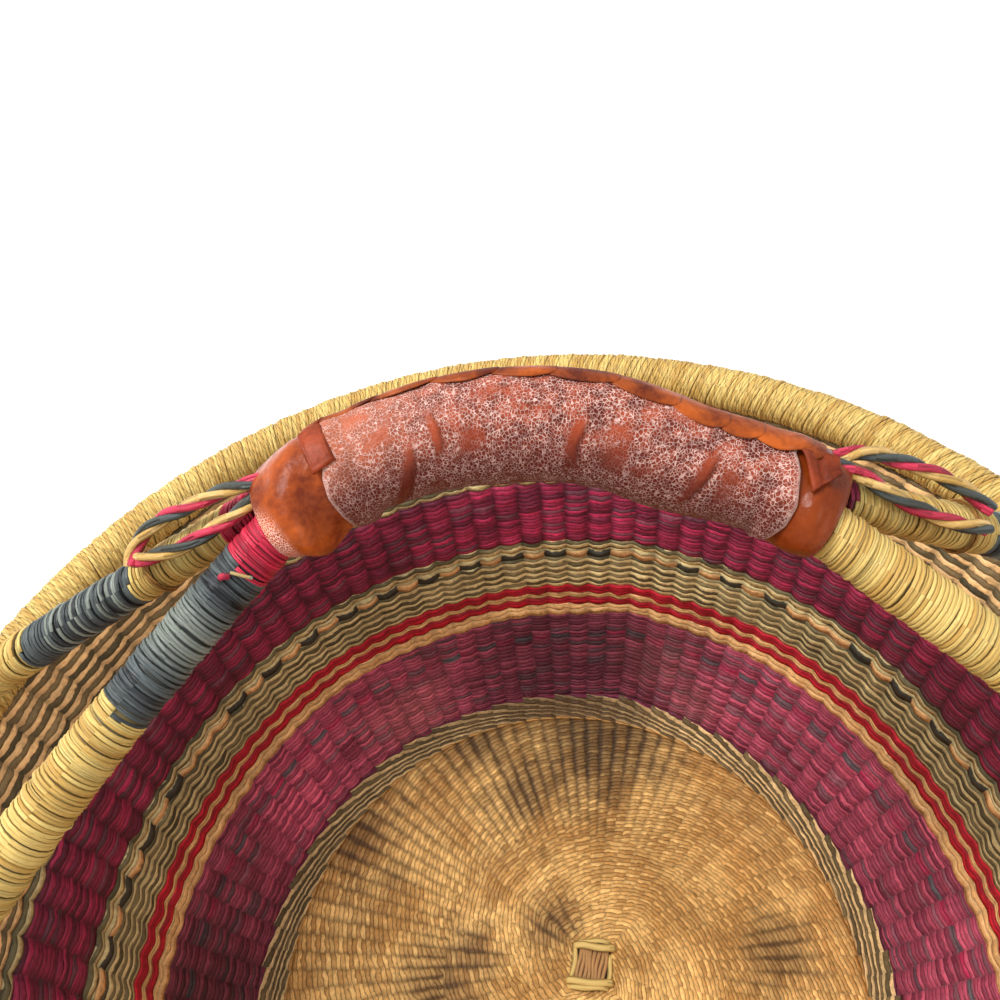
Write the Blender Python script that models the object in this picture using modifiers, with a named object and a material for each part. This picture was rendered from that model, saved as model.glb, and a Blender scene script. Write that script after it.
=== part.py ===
"""Bolga basket: a round market basket of twined straw with a leather-gripped handle.

Metres, +Z up. The underside of the floor lies on Z = 0 with its middle at the origin, and the
handle's hinge line runs along X. The handle is at rest where it leans back, towards +Y.
"""
import math

import bmesh
import bpy
from mathutils import Matrix, Vector

# Clearances
GAP = 0.0003            # between pieces that touch
OVERRUN = 0.010         # how far a cut runs past what it cuts
WELD = 0.00003          # points nearer than this are one
SLOPE_SHARE = 0.001     # of a curve, the step over which its slope is taken

# Basket wall and rim
RIM_RADIUS = 0.193      # of the circle through the middle of the rim roll
RIM_HEIGHT = 0.185      # of that circle over the ground
ROLL_RADIUS = 0.0088    # outside of the straw wrap on the rim
RIM_WRAP = 0.0020       # thickness of that wrap
WALL = 0.0045           # woven wall and floor
START_SIDE = 0.020      # plaited square where the weaving starts
START_CORNER = 0.002
START_X = 0.0099        # of its middle, which is a little off the floor's
START_Y = 0.0074
RING_STEPS = 40         # facets round the basket
ROLL_POINTS = 8         # points round the section of the rim roll
CORE_POINTS = 6         # and round the bundle in it
STAKES = 100            # warp stakes round the basket; a whole number of them goes on each two facets
RIB = 0.0010            # how far the weave swells over a stake, and sinks between two

# Middle line of the wall, from the floor's edge to the middle of the rim roll
WALL_RADIUS_SHARES = (0.650, 0.720, 0.840, 0.864, 0.877, 0.907, 1.0)
WALL_HEIGHT_SHARES = (0.0122, 0.0443, 0.277, 0.392, 0.561, 0.748, 1.0)


# Colours
OLIVE = (0.235, 0.200, 0.100)
PLUM = (0.125, 0.022, 0.060)
TAN = (0.560, 0.340, 0.120)
RED = (0.420, 0.020, 0.045)
STRAW = (0.610, 0.430, 0.150)
CRIMSON = (0.480, 0.022, 0.070)
GREY = (0.105, 0.125, 0.125)
LEATHER = (0.260, 0.075, 0.050)
COLLAR = (0.330, 0.105, 0.025)
THONG = (0.130, 0.050, 0.020)
STRAW_ROUGHNESS = 0.6
LEATHER_ROUGHNESS = 0.35

# Bands of the weave: name, where it starts and ends counted in the wall's knots, steps, colour
BANDS = (
    ("olive_ring", 0.0, 1.0, 2, OLIVE),
    ("lower_plum_band", 1.0, 2.0, 3, PLUM),
    ("stripe_tan_inner", 2.0, 2.25, 1, TAN),
    ("stripe_red_inner", 2.25, 2.5, 1, RED),
    ("stripe_tan_outer", 2.5, 2.75, 1, TAN),
    ("stripe_red_outer", 2.75, 3.0, 1, RED),
    ("olive_band", 3.0, 3.66, 1, OLIVE),
    ("checker_row", 3.66, 3.83, 1, TAN),
    ("olive_edge_row", 3.83, 4.0, 1, OLIVE),
    ("olive_top_row", 5.0, 5.1, 1, OLIVE),
)
PLUM_START = 4.0        # the upper plum band and the neck have a rib over each stake
PLUM_END = 5.0
NECK_START = 5.1
DOWN_SHARE = 0.2        # of the last knot's reach, where the wall's way down from the rim is taken

# Lashings that hold the feet of the legs, counted in facets of the ring from the hinge's end
FRONT_FOOT_STEPS = -2.5
REAR_FOOT_STEPS = 1.5
FOOT_TWIST_STEPS = 1.0  # the line through the feet is turned this far from the hinge line
LASHING = 0.0022        # thickness
LASHING_OPENING = math.radians(120)
LASHING_POINTS = 10

# Handle: the grip's middle line is an arch in a plane that leans back
LEAN = math.radians(47)
HINGE_Y = -0.015
GRIP_RISE = 0.123       # of the arch's top over the hinge, along the plane
GRIP_HALF = 0.0745      # half the length of the leather
GRIP_TOP = -0.006       # where the arch is highest
GRIP_DROP_LEFT = 0.0262
GRIP_DROP_RIGHT = 0.0212
GRIP_TALL = 0.0150      # half the sleeve's section at the middle, in the plane of the arch
GRIP_TALL_END = 0.0122
GRIP_DEEP = 0.0122      # half the sleeve's section at the middle, across that plane
GRIP_DEEP_END = 0.0112
LEATHER_THICK = 0.0016
SLEEVE_END_SHARE = 0.860
CORE_END_SHARE = 0.850
SLEEVE_STATIONS = 11
SECTION_SIDES = 12
COLLAR_LEFT_START_SHARE = 0.790
COLLAR_RIGHT_START_SHARE = 0.845
COLLAR_RIGHT_CUT_SHARE = 0.035    # the right collar ends so much nearer to the middle
COLLAR_THICK = 0.0018
COLLAR_SHARES = ((0.868, 0.0), (0.910, 0.5), (0.955, 0.9), (1.0, 1.0))

# Legs
FRONT_CORE = 0.0060     # radius of the straw bundle
REAR_CORE = 0.0050
LEG_WRAP = 0.0022       # thickness of the dyed straw round it, with its clearance
LEG_START_SHARE = 0.93
FRONT_BOW_SHARE = 0.35
REAR_BOW_SHARE = 0.30
FRONT_SPREAD = 0.0062   # of a leg's start from the middle of the collar
REAR_SPREAD = 0.0056
FOOT_RISE = 0.0115      # of a leg's end over the middle of the rim roll
LEG_SAMPLES = 48
LEG_POINTS = 15
LEG_RESOLUTION = 2
WRAP_SIDES = 10
WRAP_STATION = 0.016    # longest step between the stations of a plain wrap
STRAND = 0.0018         # thickness of the straw of the wound stretches
STRAND_PITCH = 0.00236
STRAND_GAP = 0.0005     # between that straw and the bundle
LOOP_POINTS = 12
MOUTH_DISTANCE = 0.0056  # along a leg, where it leaves the collar's mouth
MOUTH_GAP = 0.0021       # round the two bundles, at the ends of the oval
MOUTH_THIN = 0.0108      # half the collar's mouth, the short way
TORUS_SIDES = 16
WRAP_START = 0.0100     # of a leg's first wrap, just outside the collar
WRAP_JOIN = 0.0005      # between one wrap and the next

# Wraps of each leg, from the collar down: word, turns of straw, whether each turn is laid, colour.
# The last one has no turns of its own, because it runs on to the foot.
WRAPS = {
    (-1, -1): (("crimson", 4, True, CRIMSON), ("grey", 17, True, GREY), ("foot", 0, False, STRAW)),
    (-1, 1): (("crimson", 7, True, CRIMSON), ("tan", 11, False, STRAW), ("grey", 12, False, GREY),
              ("foot", 0, False, STRAW)),
    (1, -1): (("tan", 23, False, STRAW), ("grey", 21, False, GREY), ("foot", 0, False, STRAW)),
    (1, 1): (("plum", 5, False, PLUM), ("tan", 11, False, STRAW), ("grey", 12, False, GREY),
             ("foot", 0, False, STRAW)),
}

# Ties round the rear legs, and the twisted cords that run to them from the collars
TIE_START = 0.0485
TIE_END = 0.0525
TIE_THICK = 0.0014
CORD_RADIUS = 0.0018
CORD_RESOLUTION = 1
CORD_SAMPLES = 13
# Routes by hand: distance along the rear leg, out from its middle, turn round it in degrees
OUTER_CORD = (
    (0.0085, 0.0105, 66), (0.0120, 0.0112, 68), (0.0180, 0.0124, 74), (0.0280, 0.0132, 77),
    (0.0360, 0.0124, 77), (0.0430, 0.0110, 70), (0.0482, 0.0098, 60),
)
INNER_CORD = (
    (0.0085, 0.0098, 24), (0.0120, 0.0096, 22), (0.0180, 0.0096, 15), (0.0240, 0.0096, 8),
    (0.0310, 0.0096, 0), (0.0380, 0.0096, -6), (0.0482, 0.0096, -12),
)

# Leather trim: the laced strip on the grip's crest, and a tab on each collar
STRIP_THICK = 0.0014
STRIP_LEFT_SHARE = -0.770
STRIP_RIGHT_SHARE = 0.825
STRIP_BACK = (math.radians(-12), math.radians(10))     # edges at its left and right end,
STRIP_FRONT = (math.radians(30), math.radians(58))     # turned from the crest to the front
STRIP_POINTS = 4
STRIP_STATIONS = 11
TAB_THICK = 0.0012
TAB_LONG = 0.0095
TAB_WIDE = 0.0055
TAB_TURN = math.radians(60)
TAB_CORNER = 0.0004
TAB_LEFT_SHARE = -0.80
TAB_RIGHT_SHARE = 0.885


def clear_scene():
    """Removes what the scene holds."""
    for item in list(bpy.data.objects):
        bpy.data.objects.remove(item, do_unlink=True)


def collection(name):
    """A collection in the scene."""
    group = bpy.data.collections.new(name)
    bpy.context.scene.collection.children.link(group)
    return group


def material(name, colour, roughness):
    """A Principled material of one colour."""
    made = bpy.data.materials.get(name) or bpy.data.materials.new(name)
    made.use_nodes = True
    shader = made.node_tree.nodes["Principled BSDF"]
    shader.inputs["Base Color"].default_value = (*colour, 1.0)
    shader.inputs["Roughness"].default_value = roughness
    shader.inputs["Metallic"].default_value = 0.0
    return made


def add(name, mesh, colour, roughness=STRAW_ROUGHNESS):
    """An object of the basket, smooth but for its sharp edges."""
    made = bpy.data.objects.new(name, mesh)
    bpy.data.collections["bolga_basket"].objects.link(made)
    mesh.materials.clear()
    mesh.materials.append(material(name + "_finish", colour, roughness))
    mesh.shade_smooth()
    mesh.set_sharp_from_angle(angle=math.radians(40))
    return made


def outline_mesh(name, points):
    """A mesh of one closed line of points."""
    mesh = bpy.data.meshes.new(name)
    edges = [(k, (k + 1) % len(points)) for k in range(len(points))]
    mesh.from_pydata(points, edges, [])
    return mesh


def turned(name, outline, colour):
    """A ring: the outline (radius, height), outer side first and downwards, turned right round."""
    points = [(radius, 0.0, height) for radius, height in outline]
    item = add(name, outline_mesh(name, points), colour)
    turn = item.modifiers.new("turn", "SCREW")
    turn.angle = math.tau
    turn.steps = RING_STEPS
    turn.render_steps = RING_STEPS
    turn.use_merge_vertices = True
    turn.merge_threshold = WELD


def hermite(a, b, slope_a, slope_b, share):
    """A point of the cubic from a to b with these end slopes."""
    u = share
    return ((2 * u**3 - 3 * u**2 + 1) * a + (u**3 - 2 * u**2 + u) * slope_a
            + (3 * u**2 - 2 * u**3) * b + (u**3 - u**2) * slope_b)


def wall_knots():
    """The knots (radius, height) of the wall's middle line, from the floor up."""
    return [Vector((RIM_RADIUS * r, RIM_HEIGHT * h))
            for r, h in zip(WALL_RADIUS_SHARES, WALL_HEIGHT_SHARES)]


def wall_point(place):
    """The wall's middle line and its outward normal at a place counted in knots."""
    knots = wall_knots()
    low = min(int(place), len(knots) - 2)
    flat = Vector((1.0, 0.0))

    def slope(k):
        if k == 0:
            return flat * (knots[1] - knots[0]).length
        if k == len(knots) - 1:
            return knots[k] - knots[k - 1]
        return (knots[k + 1] - knots[k - 1]) / 2

    def at(u):
        return hermite(knots[low], knots[low + 1], slope(low), slope(low + 1), u)

    share = place - low
    along = (at(share + SLOPE_SHARE) - at(share - SLOPE_SHARE)).normalized()
    return at(share), Vector((along.y, -along.x))


def wall_section(start, end, samples, trim_start=GAP / 2, trim_end=GAP / 2, swell=(0.0, 0.0)):
    """The closed section of a band of the wall, trimmed at both ends and swollen by so much there."""
    places = [start + (end - start) * k / samples for k in range(samples + 1)]
    middle = [wall_point(place) for place in places]
    first = (middle[1][0] - middle[0][0]).normalized() * trim_start
    last = (middle[-2][0] - middle[-1][0]).normalized() * trim_end
    moved = [Vector(point) for point, normal in middle]
    moved[0] += first
    moved[-1] += last
    half = [WALL / 2 + swell[0] + (swell[1] - swell[0]) * k / samples for k in range(samples + 1)]
    outer = [point + normal * h for point, (_, normal), h in zip(moved, middle, half)]
    inner = [point - normal * h for point, (_, normal), h in zip(moved, middle, half)]
    return [tuple(point) for point in reversed(outer)] + [tuple(point) for point in inner]


def ribbed(name, low, high, colour):
    """A ring that goes from one outline between two stakes to another over each stake, and back.

    Its columns lie on the facets of the turned rings.
    """
    columns = 2 * STAKES
    half = math.pi / RING_STEPS
    points, faces = [], []
    sides = len(low)
    for k in range(columns):
        turn = math.tau * k / columns
        flat = math.cos(half) / math.cos(turn % (2 * half) - half)
        for radius, height in (high if k % 2 else low):
            points.append((radius * flat * math.cos(turn), radius * flat * math.sin(turn), height))
        for j in range(sides):
            a, b = k * sides, (k + 1) % columns * sides
            faces.append((a + j, a + (j + 1) % sides, b + (j + 1) % sides, b + j))
    mesh = bpy.data.meshes.new(name)
    mesh.from_pydata(points, [], faces)
    outward(mesh)
    add(name, mesh, colour)


def outward(mesh):
    """Turns a mesh's faces outwards."""
    shape = bmesh.new()
    shape.from_mesh(mesh)
    bmesh.ops.recalc_face_normals(shape, faces=shape.faces)
    shape.to_mesh(mesh)
    shape.free()


def floor_edge():
    """The radius of the floor disc."""
    return RIM_RADIUS * WALL_RADIUS_SHARES[0] - GAP / 2


def cylinder(name, radius, depth, steps):
    """A mesh of an upright cylinder round the origin."""
    shape = bmesh.new()
    bmesh.ops.create_cone(shape, cap_ends=True, segments=steps, radius1=radius, radius2=radius,
                          depth=depth)
    mesh = bpy.data.meshes.new(name)
    shape.to_mesh(mesh)
    shape.free()
    return mesh


def block(name, size):
    """A mesh of a box of this size round the origin."""
    shape = bmesh.new()
    bmesh.ops.create_cube(shape, size=1.0)
    bmesh.ops.scale(shape, vec=size, verts=shape.verts)
    mesh = bpy.data.meshes.new(name)
    shape.to_mesh(mesh)
    shape.free()
    return mesh


def cutter(name, mesh, location=(0.0, 0.0, 0.0)):
    """An object that cuts others."""
    made = bpy.data.objects.new(name, mesh)
    bpy.data.collections["cutters"].objects.link(made)
    made.location = location
    made.hide_render = True
    made.display_type = "WIRE"
    return made


def cut(item, tool):
    """Takes the tool's shape away from an item."""
    taken = item.modifiers.new("cut", "BOOLEAN")
    taken.operation = "DIFFERENCE"
    taken.solver = "EXACT"
    taken.object = tool


def build_floor():
    """The floor disc, with the plaited square set into its middle."""
    disc = add("floor_disc", cylinder("floor_disc", floor_edge(), WALL, RING_STEPS), STRAW)
    disc.location = (0.0, 0.0, WALL / 2)
    middle = (START_X, START_Y, WALL / 2)
    hole = START_SIDE + 2 * GAP
    cut(disc, cutter("start_hole", block("start_hole", (hole, hole, WALL + OVERRUN)), middle))
    square = add("start_square", block("start_square", (START_SIDE, START_SIDE, WALL)), STRAW)
    square.location = middle
    soft = square.modifiers.new("corners", "BEVEL")
    soft.width = START_CORNER
    soft.segments = 2
    soft.limit_method = "ANGLE"


def build_wall():
    """The bands of the wall, each a turned ring, and the neck that ends inside the rim roll."""
    for name, start, end, samples, colour in BANDS:
        turned(name, wall_section(start, end, samples), colour)
    ribbed("upper_plum_band", *(wall_section(PLUM_START, PLUM_END, 1, GAP, GAP, (swell, swell))
                                for swell in (-RIB, RIB)), PLUM)
    top = len(WALL_RADIUS_SHARES) - 1
    reach = ROLL_RADIUS - RIM_WRAP
    ribbed("neck_band", *(wall_section(NECK_START, top, 1, GAP, reach, (swell, 0.0))
                          for swell in (-RIB, RIB)), TAN)


def roll_point(radius, angle):
    """A point (radius, height) round the rim roll's middle."""
    return (RIM_RADIUS + radius * math.cos(angle), RIM_HEIGHT + radius * math.sin(angle))


def roll_arc(radius, start, end, points):
    """Points round the rim roll, from one angle to another."""
    return [roll_point(radius, start + (end - start) * k / (points - 1)) for k in range(points)]


def wall_angle():
    """The direction from the rim roll's middle down the wall."""
    near, _ = wall_point(len(WALL_RADIUS_SHARES) - 1 - DOWN_SHARE)
    return math.atan2(near.y - RIM_HEIGHT, near.x - RIM_RADIUS)


def build_rim():
    """The grass bundle of the rim, its straw wrap with a slot for the wall, and the lashings."""
    inner = ROLL_RADIUS - RIM_WRAP
    flats = inner * math.cos(math.pi / (ROLL_POINTS - 1))
    core = roll_arc(flats - GAP, 0.0, -math.tau, CORE_POINTS + 1)[:-1]
    turned("rim_core", core, STRAW)
    side = WALL / 2 + 2 * GAP
    down = wall_angle()
    outer_slot = math.asin(side / ROLL_RADIUS)
    inner_slot = math.asin(side / inner)
    wrap = roll_arc(ROLL_RADIUS, down + math.tau - outer_slot, down + outer_slot, ROLL_POINTS + 2)
    wrap += roll_arc(inner, down + inner_slot, down + math.tau - inner_slot, ROLL_POINTS)
    turned("rim_wrap", wrap, STRAW)
    for side in (-1, 1):
        for place in (-1, 1):
            build_lashing(side, place, down)


def leg_name(side, place):
    """The words for one leg in the nodes' names."""
    return ("left" if side < 0 else "right") + ("_front" if place < 0 else "_rear")


def foot_angle(side, place):
    """How far a foot lies round the ring from the hinge's end, towards the back."""
    steps = FRONT_FOOT_STEPS if place < 0 else REAR_FOOT_STEPS
    return (steps + side * FOOT_TWIST_STEPS) * math.tau / RING_STEPS


def lashing_radii():
    """The inside and outside of a lashing, whose flats clear the corners of the rim roll."""
    facet = (math.tau - LASHING_OPENING) / (LASHING_POINTS - 1)
    low = (ROLL_RADIUS + GAP) / math.cos(facet / 2)
    return low, low + LASHING


def build_lashing(side, place, down):
    """A straw lashing over the rim roll, one facet of the ring long, open where the wall is."""
    low, high = lashing_radii()
    start = down + LASHING_OPENING / 2
    end = down + math.tau - LASHING_OPENING / 2
    outline = roll_arc(high, end, start, LASHING_POINTS) + roll_arc(low, start, end, LASHING_POINTS)
    step = math.tau / RING_STEPS
    turn = foot_angle(side, place)
    middle = turn if side > 0 else math.pi - turn
    rings = []
    for turn in (middle - step / 2, middle + step / 2):
        around = Vector((math.cos(turn), math.sin(turn), 0.0))
        rings.append([around * radius + Vector((0.0, 0.0, height)) for radius, height in outline])
    name = "rim_lashing_" + leg_name(side, place)
    add(name, loft(name, rings), TAN)


def arch(along):
    """The grip's middle line at a distance along the hinge line."""
    up = Vector((0.0, math.sin(LEAN), math.cos(LEAN)))
    drop = GRIP_DROP_LEFT if along < GRIP_TOP else GRIP_DROP_RIGHT
    height = GRIP_RISE - drop * ((along - GRIP_TOP) / GRIP_HALF) ** 2
    return Vector((along, HINGE_Y, RIM_HEIGHT)) + up * height


def arch_frame(along):
    """Across the arch: its direction, the way up in its plane, and the way out towards the front."""
    step = GRIP_HALF * SLOPE_SHARE
    direction = (arch(along + step) - arch(along - step)).normalized()
    front = Vector((0.0, -math.cos(LEAN), math.sin(LEAN)))
    return direction, front.cross(direction).normalized(), front


def grip_half(along):
    """Half the sleeve's section, in the plane of the arch and across it."""
    share = min(abs(along) / GRIP_HALF, 1.0) ** 2
    return (GRIP_TALL + (GRIP_TALL_END - GRIP_TALL) * share,
            GRIP_DEEP + (GRIP_DEEP_END - GRIP_DEEP) * share)


def ellipse(centre, wide, deep, sides, start=0.0, end=math.tau):
    """Points round an ellipse with these half axes."""
    closed = abs(end - start - math.tau) < math.radians(1)
    count = sides if closed else sides - 1
    return [centre + wide * math.cos(start + (end - start) * k / count)
            + deep * math.sin(start + (end - start) * k / count) for k in range(sides)]


def grip_ring(along, inset, sides=SECTION_SIDES):
    """The grip's section at one place, this far inside the sleeve's outer face."""
    _, up, front = arch_frame(along)
    tall, deep = grip_half(along)
    return ellipse(arch(along), up * (tall - inset), front * (deep - inset), sides)


def loft(name, rings, closed_ends=True):
    """A mesh through rings of points, each ring joined to the next."""
    sides = len(rings[0])
    points = [point for ring in rings for point in ring]
    faces = []
    for k in range(len(rings) - 1):
        low, high = k * sides, (k + 1) * sides
        for j in range(sides):
            following = (j + 1) % sides
            faces.append((low + j, low + following, high + following, high + j))
    if closed_ends:
        faces.append(tuple(range(sides)))
        faces.append(tuple(range(len(points) - sides, len(points))))
    mesh = bpy.data.meshes.new(name)
    mesh.from_pydata(points, [], faces)
    outward(mesh)
    return mesh


def shell(name, rings, thickness, colour, roughness=STRAW_ROUGHNESS):
    """An open tube through rings of its outer face, given a wall inwards."""
    mesh = loft(name, rings, closed_ends=False)
    centre = sum(rings[0], Vector()) / len(rings[0])
    face = mesh.polygons[0]
    if face.normal.dot(face.center - centre) < 0:
        mesh.flip_normals()
    item = add(name, mesh, colour, roughness)
    wall = item.modifiers.new("wall", "SOLIDIFY")
    wall.thickness = thickness
    wall.offset = -1.0
    return item


def spread(start, end, count):
    """Evenly spaced values, both ends included."""
    return [start + (end - start) * k / (count - 1) for k in range(count)]


def collar_along(side, share):
    """The place along the grip of a share of its half length; the right collar is a little shorter."""
    if side > 0:
        start = COLLAR_RIGHT_START_SHARE
        share -= COLLAR_RIGHT_CUT_SHARE * max(share - start, 0.0) / (1 - start)
    return side * share * GRIP_HALF


def leg_spread_direction(side):
    """Across a collar's mouth, from the front leg to the rear one."""
    direction, _, _ = arch_frame(collar_along(side, 1.0))
    back = Vector((0.0, 1.0, 0.0))
    return (back - direction * back.dot(direction)).normalized()


def leg_path(side, place):
    """A leg's middle line from inside the collar to its foot on the rim."""
    spread_out = FRONT_SPREAD if place < 0 else REAR_SPREAD
    bow = FRONT_BOW_SHARE if place < 0 else REAR_BOW_SHARE
    along = collar_along(side, LEG_START_SHARE)
    outward = arch_frame(along)[0] * side
    start = arch(along) + leg_spread_direction(side) * spread_out * place
    turn = foot_angle(side, place)
    foot = Vector((side * RIM_RADIUS * math.cos(turn), RIM_RADIUS * math.sin(turn),
                   RIM_HEIGHT + FOOT_RISE))
    chord = foot - start
    length = chord.length
    leaving = outward * length * bow + chord * (1 - bow)
    arriving = chord * (1 - bow) + Vector((0.0, 0.0, -1.0)) * length * bow
    return [hermite(start, foot, leaving, arriving, k / LEG_SAMPLES) for k in range(LEG_SAMPLES + 1)]


def path_length(path):
    """The length of a line of points."""
    return sum((b - a).length for a, b in zip(path, path[1:]))


def point_along(path, distance):
    """The point this far along a line of points."""
    left = distance
    for a, b in zip(path, path[1:]):
        step = (b - a).length
        if left <= step:
            return a.lerp(b, left / step)
        left -= step
    return path[-1] + (path[-1] - path[-2]).normalized() * left


def path_frame(path, distance):
    """A path's direction and two unit vectors across it, the first towards the grip's front."""
    step = STRAND
    direction = (point_along(path, distance + step)
                 - point_along(path, max(distance - step, 0.0))).normalized()
    front = Vector((0.0, -math.cos(LEAN), math.sin(LEAN)))
    first = (front - direction * front.dot(direction)).normalized()
    return direction, first, direction.cross(first)


def tube(name, points, radius, resolution, colour, roughness=STRAW_ROUGHNESS):
    """A curve along points with a round section and closed ends."""
    data = bpy.data.curves.new(name, "CURVE")
    data.dimensions = "3D"
    line = data.splines.new("POLY")
    line.points.add(len(points) - 1)
    for spot, point in zip(line.points, points):
        spot.co = (*point, 1.0)
    data.bevel_depth = radius
    data.bevel_resolution = resolution
    data.use_fill_caps = True
    data.materials.append(material(name + "_finish", colour, roughness))
    made = bpy.data.objects.new(name, data)
    bpy.data.collections["bolga_basket"].objects.link(made)
    return made


def as_mesh(item):
    """A curve object made a mesh with welded caps, under the same name."""
    bpy.context.view_layer.update()
    graph = bpy.context.evaluated_depsgraph_get()
    mesh = bpy.data.meshes.new_from_object(item.evaluated_get(graph))
    shape = bmesh.new()
    shape.from_mesh(mesh)
    bmesh.ops.remove_doubles(shape, verts=shape.verts, dist=WELD)
    shape.to_mesh(mesh)
    shape.free()
    name = item.name
    place = item.matrix_world.copy()
    bpy.data.objects.remove(item, do_unlink=True)
    made = bpy.data.objects.new(name, mesh)
    made.matrix_world = place
    bpy.data.collections["bolga_basket"].objects.link(made)
    return made


def foot_cutter():
    """The rim roll with its lashings and their clearance, which cuts the feet of the legs."""
    reach = (lashing_radii()[1] + GAP) / math.cos(math.pi / TORUS_SIDES)
    bpy.ops.mesh.primitive_torus_add(major_radius=RIM_RADIUS, minor_radius=reach,
                                     major_segments=RING_STEPS, minor_segments=TORUS_SIDES)
    torus = bpy.context.object
    mesh = torus.data
    bpy.data.objects.remove(torus, do_unlink=True)
    return cutter("foot_seat", mesh, (0.0, 0.0, RIM_HEIGHT))


def build_legs(seat):
    """The four straw legs and their dyed wraps."""
    for side in (-1, 1):
        for place in (-1, 1):
            path = leg_path(side, place)
            radius = FRONT_CORE if place < 0 else REAR_CORE
            points = [point_along(path, d) for d in spread(0.0, path_length(path), LEG_POINTS)]
            name = "leg_" + leg_name(side, place)
            cut(as_mesh(tube(name, points, radius, LEG_RESOLUTION, STRAW)), seat)
            build_wraps(side, place, path, radius, seat)


def build_wraps(side, place, path, radius, seat):
    """The dyed wraps of one leg, each starting where the one before it ends."""
    start = WRAP_START
    for word, turns, laid, colour in WRAPS[(side, place)]:
        name = f"wrap_{leg_name(side, place)}_{word}"
        end = start + turns * STRAND_PITCH + STRAND if turns else path_length(path)
        if laid:
            build_winding(name, path, radius, start + STRAND / 2, turns, colour)
        else:
            item = build_sleeve(name, path, radius + LEG_WRAP, start, end, LEG_WRAP - STRAND_GAP,
                                colour)
            if not turns:
                cut(item, seat)
        start = end + WRAP_JOIN


def build_sleeve(name, path, radius, start, end, thickness, colour, roughness=STRAW_ROUGHNESS):
    """A plain wrap: a tube wall round a stretch of a path."""
    count = max(2, math.ceil((end - start) / WRAP_STATION) + 1)
    rings = []
    for distance in spread(start, end, count):
        _, first, second = path_frame(path, distance)
        rings.append(ellipse(point_along(path, distance), first * radius, second * radius,
                             WRAP_SIDES))
    return shell(name, rings, thickness, colour, roughness)


def build_winding(name, path, radius, start, turns, colour):
    """A wound stretch: one straw round the leg, its ends straight for one thickness."""
    out = radius + STRAND_GAP + STRAND / 2
    points = []
    for k in range(turns * LOOP_POINTS + 1):
        distance = start + STRAND_PITCH * k / LOOP_POINTS
        _, first, second = path_frame(path, distance)
        turn = math.tau * k / LOOP_POINTS
        points.append(point_along(path, distance)
                      + (first * math.cos(turn) + second * math.sin(turn)) * out)
    least = min((a - b).length for i, a in enumerate(points)
                for b in points[i + LOOP_POINTS // 2:i + 2 * LOOP_POINTS]) - STRAND
    print(f"{name}: least gap to itself {least * 1000:.2f} mm")
    points.insert(0, points[0] + (points[0] - points[1]).normalized() * STRAND)
    points.append(points[-1] + (points[-1] - points[-2]).normalized() * STRAND)
    tube(name, points, STRAND / 2, 1, colour)


def build_cords():
    """Two twisted cords at each end of the grip, and the thong that ties them to the rear leg."""
    for side in (-1, 1):
        path = leg_path(side, 1)
        word = "left" if side < 0 else "right"
        for kind, route in (("outer", OUTER_CORD), ("inner", INNER_CORD)):
            spots = []
            for distance, out, degrees in route:
                _, first, second = path_frame(path, distance)
                turn = math.radians(degrees)
                spots.append(point_along(path, distance)
                             + (first * math.cos(turn) - second * side * math.sin(turn)) * out)
            tube(f"cord_{word}_{kind}", smooth(spots, CORD_SAMPLES), CORD_RADIUS,
                 CORD_RESOLUTION, CRIMSON)
        radius = REAR_CORE + LEG_WRAP + GAP + TIE_THICK
        build_sleeve(f"tie_{word}", path, radius, TIE_START, TIE_END, TIE_THICK, THONG)


def smooth(spots, count):
    """Points on a smooth curve through a few spots."""
    last = len(spots) - 1
    slopes = [(spots[min(k + 1, last)] - spots[max(k - 1, 0)]) / (2 if 0 < k < last else 1)
              for k in range(last + 1)]
    points = []
    for place in spread(0.0, last, count):
        low = min(int(place), last - 1)
        points.append(hermite(spots[low], spots[low + 1], slopes[low], slopes[low + 1],
                              place - low))
    return points


def build_grip():
    """The grip's straw core, the leather sleeve, the collars, the laced strip and the tabs."""
    ends = spread(-CORE_END_SHARE, CORE_END_SHARE, SLEEVE_STATIONS)
    inset = LEATHER_THICK + GAP
    add("grip_core", loft("grip_core", [grip_ring(share * GRIP_HALF, inset) for share in ends]), STRAW)
    ends = spread(-SLEEVE_END_SHARE, SLEEVE_END_SHARE, SLEEVE_STATIONS)
    shell("leather_sleeve", [grip_ring(share * GRIP_HALF, 0.0) for share in ends], LEATHER_THICK,
          LEATHER, LEATHER_ROUGHNESS)
    for side, start in ((-1, COLLAR_LEFT_START_SHARE), (1, COLLAR_RIGHT_START_SHARE)):
        build_collar(side, start)
    build_strip()
    build_tab("tab_left", TAB_LEFT_SHARE * GRIP_HALF)
    build_tab("tab_right", TAB_RIGHT_SHARE * GRIP_HALF)


def build_collar(side, start):
    """A leather collar, round over the sleeve's end and wide at its mouth round the two legs."""
    middle, thin, wide = collar_mouth(side)
    rings = []
    for share, blend in ((start, 0.0),) + COLLAR_SHARES:
        along = collar_along(side, share)
        _, up, front = arch_frame(along)
        tall, deep = grip_half(along)
        cover = COLLAR_THICK + GAP
        centre = arch(along) + (middle - arch(collar_along(side, 1.0))) * blend
        ring = []
        for k in range(SECTION_SIDES):
            turn = math.tau * k / SECTION_SIDES
            way = up * math.cos(turn) + front * math.sin(turn)
            round_reach = reach(way, up * (tall + cover), front * (deep + cover))
            wide_reach = reach(way, thin, wide)
            ring.append(centre + way * (round_reach + (wide_reach - round_reach) * blend))
        rings.append(ring)
    name = "collar_left" if side < 0 else "collar_right"
    shell(name, rings, COLLAR_THICK, COLLAR, LEATHER_ROUGHNESS)


def reach(way, wide, deep):
    """How far an ellipse with these half axes reaches in one direction."""
    return 1 / math.hypot(way.dot(wide) / wide.length_squared, way.dot(deep) / deep.length_squared)


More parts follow.
